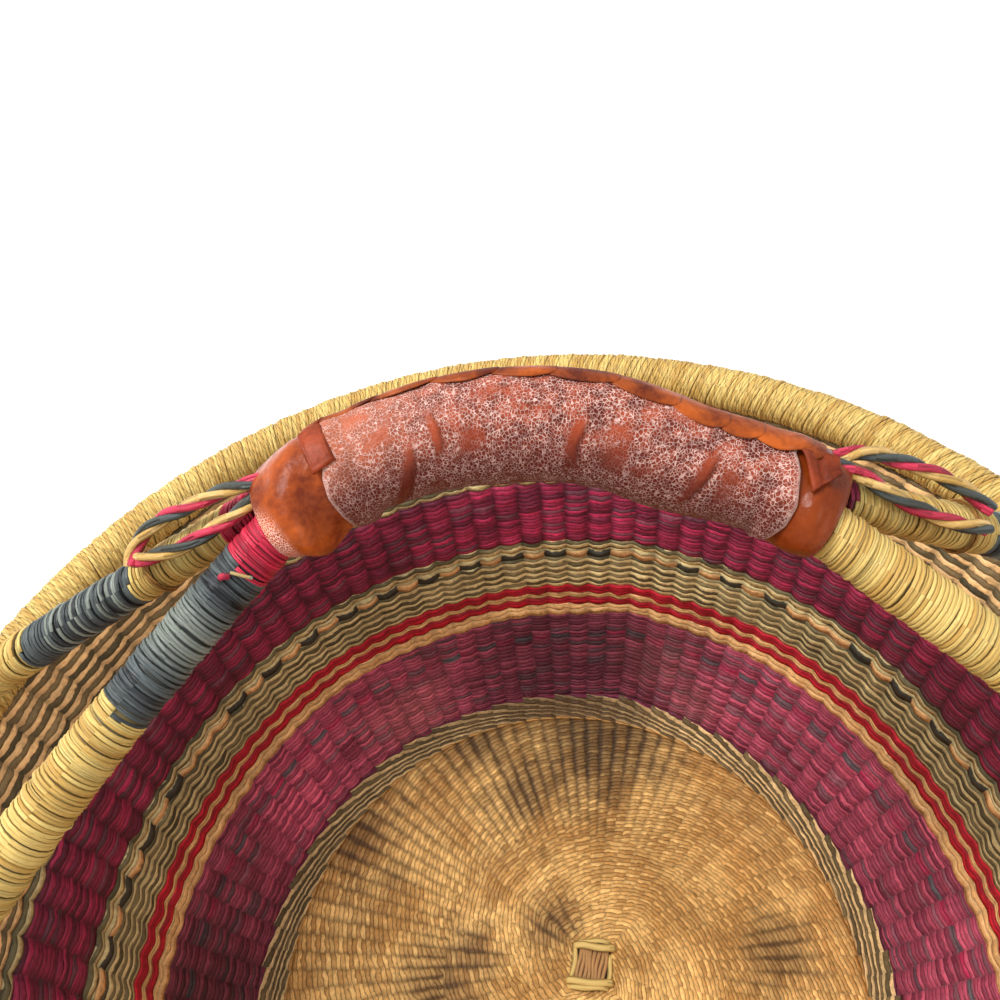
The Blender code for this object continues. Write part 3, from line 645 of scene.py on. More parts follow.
def plain_look(kind):
    """Strands that are light and dark by turns."""
    name, light, dark, slant, seam_shade, gap_shade, spread, lightened = PLAIN_LOOKS[kind]
    look, u, v, parts = weave_look(name, 0.55, slant)
    second = (parts[1] % 2.0) > 0.5
    mixed = look.mix((second - look.dice(parts[0], parts[1]) * 0.2).max(0.0), light, dark)
    # Painted light: the rows are made lighter in a patch on the back wall below the handle.
    if lightened:
        mixed = look.shade(mixed, 1.0 + spots(look, lightened, OLIVE_PAINTED_LIGHT))
    return paint_weave(look, mixed, u, v, parts, seam_shade, gap_shade, spread)


def ring_look():
    """The ring at the floor's edge: pairs that run inwards by one pair in two stakes, so that both
    of its edges are stepped. It is painted lighter towards the right and darker towards the left, as
    the light falls from the left, and painted shade darkens its back."""
    look, u, v, parts = weave_look("olive ring", 0.55, 0.25, slope=-1.0)
    pale = (parts[1] % 2.0) > 0.5
    step = (u * 0.5).part() * 0.8
    mixed = look.mix((pale + look.dice(parts[0], parts[1]) * 0.2 - 0.1).clamp(),
                     look.mix(0.12, "olive_dark", "gold_dark"), look.mix(0.6, "olive", "tan"))
    x = look.axes(look.place())[0]
    # Painted light: lighter towards the right and darker towards the left.
    mixed = look.shade(mixed, x.ramp(-0.08, 0.10, 0.85, 1.15))
    # Painted shade at the back, mixed towards the stain colour.
    mixed = look.mix(spots(look, 0.8, RING_PAINTED_SHADE), mixed, "stain_and_shade")
    mixed = look.mix(v > step + 8.2, mixed, "plum_dark")
    mixed = look.mix(v < step, mixed, "gold_dark")
    return paint_weave(look, mixed, u, v, parts, 0.35, 0.85, 0.3)


def checker_look():
    """The row of dashes, pale and black by turns, with one olive strand over it."""
    look, u, v, parts = weave_look("dashes", 0.55, 0.1, scale=0.75)
    stake, row = parts[:2]
    black = ((stake % 2.0) > 0.5) * (look.dice(stake, 3.0) > 0.12)
    mixed = look.mix(row > 0.5, look.mix(black, "tan", "black"), "olive")
    return paint_weave(look, mixed, u, v, parts, 0.5, 0.7, 0.2)


def upper_plum_look():
    """Deep stakes whose strands are bright magenta or dull plum, a few of them grey; painted lighter in
    the middle of the back wall and darker at the sides.
    """
    look, u, v, parts = weave_look("upper plum", 0.5, 0.3)
    stake, row = parts[:2]
    bright = ((stake + row) % 2.0) > 0.5
    share = bright * 0.2 + look.dice(stake, row) * 0.7 - 0.05
    mixed = look.mix(share.clamp(), "plum_dark", "magenta")
    grey = (look.dice(stake, row + 40.0) > 0.75) * (1 - bright)
    mixed = look.mix(grey * 0.7, mixed, "plum_grey")
    # Painted light: lighter in the middle of the back wall, darker towards the sides.
    mixed = look.shade(mixed, 0.84 + spots(look, 0.6, UPPER_PLUM_PAINTED_LIGHT))
    return paint_weave(look, mixed, u, v, parts, 0.5, 0.55, 0.5)


def lower_plum_look():
    """Plum strands with dull green bits, a row of bright dashes, and worn places; painted shade at the
    back and the front left, and a painted sheen on the left.
    """
    look, u, v, parts = weave_look("lower plum", 0.5, 0.5, slope=-0.4)
    stake, row = parts[:2]
    chance = look.dice(stake, row)
    second = (row % 2.0) > 0.5
    mixed = look.mix((second * 0.4 + chance * 0.5 + 0.15).clamp(), "plum_dark", "plum")
    mixed = look.mix((look.dice(stake, row + 90.0) > 0.86) * 0.55, mixed, "teal")
    dash = look.mix((stake % 2.0) > 0.5, "magenta", "teal")
    in_row = (v > 18.0) * (v < 19.4)
    mixed = look.mix(in_row * (chance * 0.4 + 0.6), mixed, dash)
    mixed = look.mix(spots(look, 0.42, LOWER_PLUM_WORN), mixed, "worn")
    mixed = look.shade(mixed, 1.06 - spots(look, 0.74, LOWER_PLUM_SHADED))
    # Painted sheen: a lighter patch on the left.
    mixed = look.shade(mixed, 1.0 + spots(look, 0.5, LOWER_PLUM_PAINTED_SHEEN))
    return paint_weave(look, mixed, u, v, parts, 0.55, 0.74, 0.35)


def floor_look():
    """Golden strands over 25 radial stakes round the start, then 50, then 100, with dark stains.

    The valleys between the stakes are darker towards the back and the left, and the whole floor is painted
    lighter towards the front and the right, with painted shade at the back.
    """
    look = Look("floor weave", Roughness=0.5, Specular_IOR_Level=0.35)
    u, v, _ = look.axes(look.uv())
    first, second = (v > FLOOR_STRANDS * share for share in FLOOR_STEPS)
    stake, row, swell, over = twine(look, u, v, 0.9, per_stake=first * 0.25 + second * 0.5 + 0.25)
    place = look.place()
    x, y, _ = look.axes(place)
    cloud = look.noise(place, 34.0, 4.0, 0.6)
    share = cloud.ramp(0.35, 0.62) * 0.75 + look.dice(stake, row) * 0.5 - (row % 2.0) * 0.45
    mixed = look.mix(share.clamp(), "gold_dark", "gold")
    valley = over.ramp(0.0, 0.95, 1.0, 0.0)
    # The valleys darker towards the back and the left, in the outer rows.
    back_valley_dark = (y - x * 0.7 + cloud * 0.12).ramp(0.06, 0.17) * v.ramp(20.0, 34.0)
    mixed = look.mix(valley * back_valley_dark * 0.4, mixed, "stain_and_shade")
    blot = spots(look, 1.0, FLOOR_STAINED)
    mixed = look.mix((blot * (valley * 0.5 + 0.6)).min(0.9), mixed, "stain_and_shade")
    # Painted light: lighter towards the front and the right.
    mixed = look.shade(mixed, (x * 0.6 - y * 0.8).ramp(-0.06, 0.03, 1.02, 1.24))
    mixed = look.shade(mixed, 1.0 - spots(look, 0.55, FLOOR_SHADED))
    return paint_weave(look, mixed, u, v, (stake, row, swell, over), 0.48, 0.88, 0.25)


def straw_look(name, light, dark, third=None, gloss=0.45, patch=None, plies=0.0):
    """Laid straw: each turn its own tone, with plies and fine fibres along it, and painted shade on its
    sides and along the plies.
    """
    look = Look(name, Roughness=gloss, Specular_IOR_Level=0.5)
    u, v, _ = look.axes(look.uv())
    count = u.floor()
    tone = look.dice(count)
    fibre = look.noise(look.vector(u * 2.5, (v * TAU).sin() * 2.0, count * 3.0), 1.0, 4.0, 0.7)
    patchy = look.noise(look.vector(u * 0.08, 5.0), 1.0, 2.0)
    mixed = look.mix((tone * 0.9 + fibre * 2.0 + patchy - 1.45).clamp(), dark, light)
    if third is not None:
        mixed = look.mix((look.dice(count, 9.0) > 0.8) * 0.6, mixed, third)
    if patch is not None:
        start, end, colour = patch
        here = u.ramp(start - 5, start + 5) * u.ramp(end - 5, end + 5, 1.0, 0.0)
        mixed = look.mix(here * 0.55, mixed, colour)
    # Painted shade: darker on the sides and underside of each turn, and along the plies.
    side_shade = (v * TAU + math.pi / 2).sin().ramp(-0.3, 0.9, 0.2, 1.0)
    ply = ((u * plies + v * 2.0 + tone * 5.0).part() - 0.5).abs()
    side_shade = side_shade * ply.ramp(0.36, 0.5, 1.0, 0.62)
    height = fibre + ply.ramp(0.3, 0.5, 0.7, 0.0)
    return look.finish(look.shade(mixed, side_shade), look.bump(height, STRAW_BUMP))


def bundle_look(name, colour):
    """A bundle of straw that shows between its turns."""
    look = Look(name, Roughness=0.7)
    u, v, _ = look.axes(look.uv())
    fibre = look.noise(look.vector(u * 0.2, v * 30.0), 1.0, 3.0)
    return look.finish(look.shade(colour, fibre * 0.8 + 0.3), look.bump(fibre, 0.0004, 1.0))


def crackle(look, vector, finer=1.0):
    """How near to one of the crack lines between small cells: 1 on it."""
    values = {"Vector": vector, "Scale": size_of("crackle") * finer, "Randomness": 0.85}
    edge = look.node("ShaderNodeTexVoronoi", {"feature": "DISTANCE_TO_EDGE"}, values, "Distance")
    return edge.ramp(0.03, 0.125, 1.0, 0.0)


def leather_look():
    """Crackled leather: pale broken crack lines round small uneven cells, few on smooth patches and
    creases, paler at the left, painted shade under the grip, painted shadow lines beside the deep
    creases, and with a pale cut edge."""
    look = Look("crackled leather", Roughness=0.45, Specular_IOR_Level=0.12)
    vector = look.uv()
    u, v, _ = look.axes(vector)
    bent = look.noise(vector, 170.0, 2.0) - 0.5
    fine = look.noise(vector, 620.0, 2.0) - 0.5
    line = crackle(look, look.vector(u * 1.15 + bent * 0.0013 + fine * 0.00025,
                                     v + bent * 0.0010 - fine * 0.00025))
    cloud = look.noise(vector, 60.0, 4.0, 0.6)
    worn = look.noise(vector, 190.0, 3.0, 0.6)
    left = look.axes(look.place())[0].ramp(-0.07, -0.015, 1.0, 0.0)
    # Painted shade under the grip: darker cells and fainter cracks towards its underside.
    under_shade = v.ramp(0.018, 0.031)
    crease = (look.attribute("crease") * (worn * 1.8 + 0.1)).clamp()
    shown = (cloud.ramp(0.35, 0.46, 0.15, 1.0) * crease.ramp(0.1, 0.7, 1.0, 0.05)
             * worn.ramp(0.34, 0.46, 0.5, 1.0) * fine.ramp(-0.12, 0.03, 0.35, 1.0)
             * (1 - under_shade * 0.45) * (1 - left * 0.2))
    smooth = cloud.ramp(0.36, 0.47, 0.8, 0.0).max(crease.ramp(0.05, 0.8))
    colour = look.mix(worn.ramp(0.35, 0.65), "leather_dark", "leather")
    # leather_dark is also the painted shade under the grip, and collar_dark along the valley attribute the
    # painted shadow lines beside the deep creases.
    for share, other in ((smooth * 0.8, "leather_worn"), (look.attribute("valley") * 0.75, "collar_dark"),
                         (left * 0.6, "leather_pale"), (under_shade * 0.95, "leather_dark"),
                         (line * shown * 0.8, "crack"), (look.attribute("cut") * 0.6, "crack")):
        colour = look.mix(share, colour, other)
    height = line * shown * 0.3 + worn + cloud * 1.5
    return look.finish(colour, look.bump(height, LEATHER_BUMP, 0.8), smooth.ramp(0.0, 1.0, 0.5, 0.34))


def smooth_leather_look(name, light, dark, gloss, mouth=False):
    """Smooth handled leather, mottled and lightly wrinkled; crackled and pale at a collar's mouth, and on
    the collars painted lighter at the left and darker at the right.
    """
    look = Look(name, Roughness=gloss, Specular_IOR_Level=0.17)
    place = look.place()
    cloud = look.noise(place, 80.0, 4.0, 0.6)
    fine = look.noise(place, 700.0, 3.0, 0.6)
    mixed = look.mix((cloud * 3.0 - 1.0 + fine * 0.6 - 0.3).clamp(), dark, light)
    if mouth:
        near, x = look.attribute("mouth"), look.axes(place)[0]
        cracks = (crackle(look, place, 1.4) * near.ramp(0.1, 0.6) * 0.7).max(near.ramp(0.85, 1.0) * 0.3)
        # Painted light: the left collar lighter and the right one darker, as the light falls from the
        # left; the right one also tinted warmer.
        mixed = look.shade(look.mix(cracks, mixed, "crack"), x.ramp(-0.05, 0.05, 1.45, 0.78))
        mixed = look.mix(x.ramp(0.0, 0.06, 0.0, 0.5), mixed, "collar_warm")
    height = look.noise(place, 150.0, 4.0, 0.5) + fine * 0.15
    return look.finish(mixed, look.bump(height, LEATHER_BUMP), cloud.ramp(0.35, 0.65, gloss + 0.2, gloss))


# ---- the operators


def length_setting(name, default, about):
    """A length setting in metres."""
    return bpy.props.FloatProperty(name=name, description=about, default=default, subtype="DISTANCE",
                                   unit="LENGTH")


class BasketSizes(bpy.types.PropertyGroup):
    """Sizes of the straw, the cords and the leather."""

    rim_turns: bpy.props.IntProperty(
        name="Turns of the rim", description="Turns of straw round the rim roll", default=960, min=100)
    rim_slant: length_setting("Slant on the rim", 0.0024, "How far a turn slides from side to side")
    leg_slant: length_setting("Slant on the legs", 0.0015, "How far a turn slides from side to side")
    straw: length_setting("Straw pitch", 0.00108, "Distance from one turn of straw to the next")
    cord_lay: length_setting("Lay of the cords", 0.026, "Length of one full twist of a cord")
    cord_strand: length_setting("Strand of the cords", 0.00115, "Radius of one of a cord's strands")
    crackle: bpy.props.FloatProperty(
        name="Cracks per metre", description="Crackle cells along a metre of the sleeve", default=1100.0)


def colour_setting(name, red, green, blue, about):
    """A colour setting, given as the eye reads it."""
    return bpy.props.FloatVectorProperty(
        name=name, description=about, default=linear(red, green, blue), subtype="COLOR", size=3,
        min=0.0, max=1.0)


class BasketColours(bpy.types.PropertyGroup):
    """Colours of the straw and the leather."""

    straw: colour_setting("Straw", 246, 214, 128, "Light straw of the rim and the legs")
    straw_dark: colour_setting("Dark straw", 206, 160, 78, "Darker straw of the rim and the legs")
    tan: colour_setting("Tan", 244, 196, 134, "Pale strands of the bands")
    tan_dark: colour_setting("Dark tan", 220, 166, 104, "Duller pale strands")
    red: colour_setting("Crimson", 204, 26, 48, "Crimson stripes")
    red_dark: colour_setting("Dark crimson", 168, 18, 40, "Duller crimson strands")
    olive: colour_setting("Pale olive", 208, 188, 134, "Light strands of the olive rows")
    olive_dark: colour_setting("Dark olive", 84, 76, 50, "Dark strands of the olive rows")
    black: colour_setting("Black", 66, 68, 60, "Black dashes")
    magenta: colour_setting("Magenta", 176, 42, 80, "Bright strands of the plum bands")
    plum: colour_setting("Plum", 196, 84, 108, "Strands of the lower plum band")
    plum_dark: colour_setting("Dark plum", 112, 32, 58, "Dull strands of the plum bands")
    plum_grey: colour_setting("Grey plum", 108, 70, 82, "Greyish strands of the upper plum band")
    teal: colour_setting("Dull green", 88, 84, 90, "Green-grey strands of the lower plum band")
    worn: colour_setting("Worn plum", 196, 116, 116, "Faded places of the lower plum band")
    gold: colour_setting("Gold", 242, 194, 118, "Light strands of the floor")
    gold_dark: colour_setting("Dark gold", 196, 142, 74, "Darker strands of the floor")
    # The stain colour serves the floor's stains and the start square, and also the painted shade at the
    # ring's back and the darker valleys at the floor's back.
    stain_and_shade: colour_setting("Stain", 88, 60, 32, "Stains of the floor")
    crimson: colour_setting("Crimson wrap", 236, 50, 84, "Crimson straw on the legs")
    crimson_dark: colour_setting("Dark crimson wrap", 168, 24, 52, "Darker crimson straw")
    grey: colour_setting("Slate", 98, 106, 106, "Slate grey straw on the legs")
    grey_dark: colour_setting("Dark slate", 36, 38, 42, "Darker slate straw")
    grey_pale: colour_setting("Pale slate", 176, 184, 170, "Faded slate straw")
    cord_red: colour_setting("Cord red", 224, 52, 86, "Red strand of the cords")
    cord_tan: colour_setting("Cord tan", 240, 200, 128, "Yellow strand of the cords")
    cord_black: colour_setting("Cord black", 74, 82, 80, "Dark strand of the cords")
    leather: colour_setting("Leather", 162, 74, 50, "Cells of the crackled leather")
    leather_dark: colour_setting("Dark leather", 92, 32, 22, "Darker cells of the leather")
    leather_pale: colour_setting("Pale leather", 206, 122, 90, "Cells at the left end of the sleeve")
    leather_worn: colour_setting("Worn leather", 164, 68, 34, "Smooth creases of the leather")
    crack: colour_setting("Cracks", 236, 196, 184, "Pale cracks of the leather")
    collar: colour_setting("Collar", 160, 74, 26, "Light places of the smooth leather")
    collar_warm: colour_setting("Warm collar", 132, 50, 8, "Tint of the right collar")
    strip: colour_setting("Strip", 184, 88, 30, "Light places of the laced strip")
    collar_dark: colour_setting("Dark collar", 92, 32, 10, "Darker places of the smooth leather")


def make_bands():
    """The woven bands of the wall."""
    looks = {"ring": ring_look, "checker": checker_look, "upper_plum": upper_plum_look,
             "lower_plum": lower_plum_look}
    for seed, (node, start, end, strands, depth, sharp, kind, slot) in enumerate(BANDS):
        look = looks[kind]() if kind in looks else plain_look(kind)
        rides(woven_band(node + "_weave", start, end, strands, depth, sharp, look, seed + 20),
              "basket", slot, node)


# The plaited square in the floor: its middle, side and turn, then its straws: place across, length,
# radius, whether it crosses the brown ones, and height of its middle
START_MIDDLE, START_SIDE, START_TURN = np.array([0.0099, 0.0074]), 0.0170, math.radians(-9)
START_STRAWS = (
    *((-0.0060 + 0.00165 * k, 0.0165, 0.00088, False, 0.0048) for k in range(8)),
    (-0.0080, 0.0130, 0.0011, False, 0.0046), (0.0078, 0.0120, 0.0010, False, 0.0044),
    (0.0074, 0.0170, 0.0015, True, 0.0062), (-0.0072, 0.0190, 0.0015, True, 0.0064),
    (-0.0092, 0.0160, 0.0012, True, 0.0058), (0.0094, 0.0130, 0.0011, True, 0.0054))


def make_floor():
    """The woven floor and the plaited square where it starts: brown straws between pale ones."""
    rides(woven_floor("floor_weave", START_MIDDLE, START_SIDE, floor_look()), "basket", "straw",
          "floor_disc")
    pale = straw_look("start straw", "straw", "gold")
    brown = straw_look("start brown straw", "tan_dark", "stain_and_shade")
    base = bundle_look("start bundle", "stain_and_shade")
    dice = np.random.RandomState(3)
    right = np.array([math.cos(START_TURN), math.sin(START_TURN)])
    ahead = np.array([-right[1], right[0]])
    along = np.linspace(-0.5, 0.5, 24)
    parts = []
    for k, (offset, length, radius, crossing, height) in enumerate(START_STRAWS):
        a = along * length
        b = offset + 0.0004 * np.sin(along * 6 + k) + dice.normal(0, 0.0001) + crossing * a * 0.12
        way, side = (right, ahead) if crossing else (ahead, right)
        flat = START_MIDDLE + (a[:, None] * way + b[:, None] * side)
        path = np.column_stack([flat, height - 0.0022 * (along * 2) ** 4])
        look = pale if crossing or abs(offset) > 0.0075 else brown
        parts.append(tube(f"start_{k}", path, Z_AXIS, radius * 1.1, radius, 0.05, look))
    slab = np.column_stack([along[:, None] * (0.0225, 0.0) + START_MIDDLE, 0 * along + 0.0020])
    parts.append(tube("start_base", slab, Z_AXIS, 0.0112, 0.0018, 0.2, base, 12))
    rides(joined("start_square_plait", parts), "basket", "straw", "start_square")


LASHING_HALF = 0.0085        # half the length of a lashing along the rim


def ring_path(angle):
    """The circle through the rim roll."""
    return np.stack([RIM_RADIUS * np.cos(angle), RIM_RADIUS * np.sin(angle),
                     np.full_like(angle, RIM_HEIGHT)], -1)


def make_rim():
    """The rim roll: a bundle with straw laid round it, and the four lashings over the feet.

    A turn's angle round the roll grows steadily; its place along the rim is its share of the ring
    plus a slant times the sine of that angle, with a little seeded unevenness per turn.
    """
    turns, steps = size_of("rim_turns"), 15
    turn = np.arange(turns * steps) / steps
    dice = np.random.RandomState(7)
    uneven = [np.r_[v, v[:1]] for v in dice.normal(0, 1, (3, turns))]
    slide, rise, more = (np.interp(turn, np.arange(turns + 1), v) for v in uneven)
    around = TAU * turn
    pitch = TAU * RIM_RADIUS / turns
    slant = size_of("rim_slant") * (1 + 0.10 * more)
    angle = (turn * pitch + slide * pitch * 0.10 + slant * np.sin(around + 0.35)) / RIM_RADIUS
    bumps = 0.00022 * rise + 0.0010 * waves(TAU * turn / turns, 12, 40, 90)
    radius = ROLL_RADIUS - 0.0011 + np.clip(bumps, -0.0007, 0.0009)
    outward = np.stack([np.cos(angle), np.sin(angle), 0 * angle], -1)
    tilt = around + math.radians(45)
    out = -outward * np.sin(tilt)[:, None] + Z_AXIS * np.cos(tilt)[:, None]
    centre = ring_path(angle) + out * radius[:, None]
    look = straw_look("rim straw", "straw", "straw_dark", plies=RIM_PLIES)
    wrap = tube("rim_straw", centre, out, pitch * 0.62, 0.0008, 1 / steps, look, 6, closed=True)
    rides(wrap, "basket", "straw", "rim_wrap")
    ring = ring_path(np.linspace(0, TAU, 240, endpoint=False))
    core = tube("rim_bundle", ring, Z_AXIS, 0.0074, 0.0074, 1.0, bundle_look("rim bundle", "straw_dark"),
                16, closed=True)
    rides(core, "basket", "straw", "rim_core")
    lash = straw_look("lashing straw", "straw", "straw_dark", plies=RIM_PLIES)
    for side, place, word in LEGS:
        turn = foot_turn(side, place)
        path = ring_path((turn if side > 0 else math.pi - turn) + np.linspace(-0.11, 0.11, 40))
        start, end = (measure(path)[-1] / 2 + half for half in (-LASHING_HALF, LASHING_HALF))
        piece = winding(f"rim_lashing_{word}_straw", path, ROLL_RADIUS - 0.0004, start, end, lash,
                        60 + side + 3 * place, slant=0.0020)
        rides(piece, "basket", "straw", "rim_lashing_" + word)


# How far a leg's first wrap reaches into the collar, the frame's length of one turn, how far a wrap
# runs over the next one's start, and how far the last one runs past the leg's foot
WRAP_BEFORE, WRAP_PITCH, WRAP_LAP, FOOT_REACH = {-1: 0.0035, 1: 0.0070}, 0.00236, 0.0018, 0.002
# Wraps of each leg: word in the node's name, and length counted in the frame's turns; 0 for the rest
WRAPS = {
    (-1, -1): (("crimson", 2.6), ("grey", 18.4), ("foot", 0)),
    (-1, 1): (("crimson", 3.2), ("tan", 12.2), ("grey", 15.2), ("foot", 0)),
    (1, -1): (("tan", 23), ("grey", 21), ("foot", 0)),
    (1, 1): (("plum", -1.8), ("tan", 17.8), ("grey", 12), ("foot", 0)),
}


def make_legs():
    """The four straw legs: a bundle each, with straw of several colours wound round it."""
    straw = straw_look("leg straw", "straw", "straw_dark")
    looks = {
        "crimson": straw_look("crimson wrap", "crimson", "crimson_dark", gloss=0.35),
        "grey": straw_look("slate wrap", "grey", "grey_dark", "grey_pale", gloss=0.35),
        "plum": straw_look("plum wrap", "magenta", "plum_dark"),
        "tan": straw, "foot": straw,
    }
    lightened = straw_look("faded slate wrap", "grey", "grey_dark", gloss=0.35, patch=(14, 27, "grey_pale"))
    bundle = bundle_look("leg bundle", "straw_dark")
    for side, place, leg in LEGS:
        path, radius = leg_path(side, place), LEG_CORE[place]
        core = tube(f"leg_{leg}_bundle", path, frames_along(path)[1], radius, radius, 0.2, bundle, 16)
        bends(core, "straw", path, "leg_" + leg)
        start, before = WRAP_START, WRAP_BEFORE[side]
        for k, (word, turns) in enumerate(WRAPS[side, place]):
            end = start + turns * WRAP_PITCH + WRAP_LAP if turns else measure(path)[-1] + FOOT_REACH
            look = lightened if (word, leg) == ("grey", "left_front") else looks[word]
            piece = winding(f"wrap_{leg}_{word}_straw", path, radius + 0.0001, start - before, end, look,
                            90 + k + 10 * side + place, slant=size_of("leg_slant") * side,
                            pitch=size_of("straw"), lean=0.9 * side,
                            uneven=0.2 if looks[word] is straw else 0.5)
            slot = "straw" if looks[word] is straw else word + "_straw"
            bends(piece, slot, path, f"wrap_{leg}_{word}")
            start, before = end, 0.0
        if leg == "left_front":
            make_knot(path)


def make_knot(path):
    """The small knot and the pale loose end of straw on a leg."""
    pink = straw_look("knot straw", "cord_red", "crimson", plies=RIM_PLIES)
    pale = straw_look("pale strand", "cord_tan", "grey_pale", plies=RIM_PLIES)
    for name, route, count, width, thick, step, look, sides, slot in (
            ("knot", KNOT, 16, 0.0009, 0.0008, 0.2, pink, 10, "crimson_straw"),
            ("pale_strand", LOOSE_END, 24, 0.0005, 0.0004, 0.1, pale, 8, "straw")):
        line = smooth_route(beside(path, route, -1), count)
        bends(tube(name, line, frames_along(line)[1], width, thick, step, look, sides), slot, path)


# A knot and a loose end on the left front leg, and cords beside the rear legs: distance along the
# leg, distance from its middle line, and degrees
KNOT = (.0230, .0074, 0), (.0235, .0083, 3), (.0239, .0086, 6), (.0244, .0074, 9)
LOOSE_END = ((.0218, .0081, 0), (.0212, .0081, -9), (.0206, .0081, -18), (.0200, .0081, -27),
             (.0194, .0081, -36))
CORDS = {
    ("left", "outer"): ((-.0010, .0086, 30), (.0047, .0100, 32), (.0130, .0115, 42), (.0233, .0125, 47),
                        (.0330, .0125, 57), (.0400, .0116, 54), (.0440, .0106, 38), (.0462, .0098, 20)),
    ("left", "inner"): ((-.0010, .0086, 2), (.0057, .0096, 6), (.0127, .0096, 2), (.0220, .0096, 2),
                        (.0310, .0096, 4), (.0400, .0098, 16), (.0440, .0098, 24)),
    ("right", "outer"): ((-.0020, .0086, 76), (.0030, .0105, 76), (.0080, .0132, 72), (.0180, .0136, 72),
                         (.0300, .0130, 66), (.0400, .0112, 54), (.0460, .0098, 36)),
    ("right", "inner"): ((-.0010, .0090, 46), (.0030, .0096, 44), (.0067, .0098, 38), (.0100, .0098, 32),
                         (.0200, .0096, 16), (.0330, .0096, 4), (.0450, .0096, 6)),
}


TIE = 0.0432, 0.0446         # where a tie starts and ends along its leg


def make_cords():
    """Two cords of three strands at each end of the grip, and the thong that ties them."""
    looks = [straw_look("cord red", "cord_red", "crimson_dark", gloss=0.4),
             straw_look("cord tan", "cord_tan", "straw_dark"),
             straw_look("cord black", "cord_black", "black", gloss=0.4)]
    thong = smooth_leather_look("thong", "gold_dark", "stain_and_shade", 0.4)
    strand, lay = size_of("cord_strand"), size_of("cord_lay")
    for side, word in SIDES.items():
        path = leg_path(side, 1)
        for kind, begin in (("outer", 0.0), ("inner", 0.8)):
            line = smooth_route(beside(path, CORDS[word, kind], side), 90)
            _, across, other = frames_along(line)
            twist = (measure(line) / lay * TAU)[:, None]
            parts = []
            for k, look in enumerate(looks):
                phase = twist * -side + k * TAU / 3 + begin
                centre = line + (across * np.cos(phase) + other * np.sin(phase)) * strand * 0.92
                parts.append(tube(f"strand_{k}", centre, across, strand, strand, 0.12, look, 10))
            bends(joined(f"cord_{word}_{kind}_strands", parts), "cord_straw", path,
                  f"cord_{word}_{kind}")
        tie = winding(f"tie_{word}_thong", path, 0.0066, *TIE, thong, 31 + side, slant=0.0010,
                      pitch=0.0005, rough=0.0003, under_shade=False)
        bends(tie, "thong_leather", path, f"tie_{word}")


# Places on the grip, from the photo: distance along it in millimetres, and degrees from the crest
SLEEVE_LEFT = ((0, 30, 84, 94, 115, 145, 182, 200, 360),
               (-55.6, -56, -55.4, -56.6, -57.8, -57.6, -57.2, -55, -55.6))
SLEEVE_RIGHT = ((0, 56, 73, 86, 104, 127, 154, 165, 360), (58, 58.4, 60.2, 61, 62.6, 62.8, 61, 58, 58))
# Creases, in the same two measures: width in millimetres, depth as a share, then the places
CREASES = (
    (1.6, 1.0, (-28.6, 62), (-27.6, 76), (-27.0, 90), (-27.0, 104), (-28.0, 118)),
    (2.1, 1.0, (-34.0, 94), (-35.2, 110), (-37.0, 128), (-39.6, 146), (-42.8, 166), (-44.6, 180)),
    (2.2, 0.9, (10.6, 80), (9.6, 90), (8.6, 100), (7.8, 112), (8.4, 124), (10.6, 140)),
    (1.9, 0.9, (41.4, 70), (41.2, 84), (40.6, 98), (39.4, 114), (38.0, 130), (36.4, 148)),
    (2.4, 0.55, (-20, 62), (-15, 57), (-10, 55), (-7.4, 60)),
    (1.0, 0.4, (-8.4, 34), (-8.0, 46), (-7.0, 58)),
    (1.2, 0.45, (-12, 72), (-5, 74), (2, 76), (8, 80)),
    (1.1, 0.5, (-18, 92), (-19.4, 104), (-22.6, 118), (-27, 131)),
    (1.8, 0.5, (26.6, 70), (28.6, 78), (30.6, 86)),
    (2.2, 0.45, (22, 124), (26, 120), (30, 114)),
    (1.8, 0.4, (50.6, 96), (50.8, 106), (50.2, 116)),
    (1.6, 0.4, (14.6, 80), (17.4, 84), (20, 88)),
    (0.9, 0.4, (-2, 110), (-3.4, 124), (-3, 140)),
)


def crease_depth(along, turn):
    """Depth of the creases, up to 1, and of their far sides' shadow lines.

    A crease is a bell over the distance to its curved line, fading to its ends; the shadow line is a
    narrower bell beside it.
    """
    depth, valley = np.zeros(along.shape), np.zeros(along.shape)
    place = np.stack(np.broadcast_arrays(along, turn * GRIP_ROUND), -1)
    for width, deep, *line in CREASES:
        spots = smooth_route(np.array(line) * (0.001, math.radians(1) * GRIP_ROUND), 28)
        for spot, fade in zip(spots, np.sin(np.linspace(0, 1, len(spots)) * math.pi) ** 0.6):
            near, far = (np.linalg.norm(place - spot - (shift, 0), axis=-1) * 1000
                         for shift in (0.0, width * 0.0008))
            depth = np.maximum(depth, deep * fade * bell(near, 0.0, width))
            valley = np.maximum(valley, (deep > 0.8) * fade * bell(far, 0.0, 0.5))
    return depth, valley


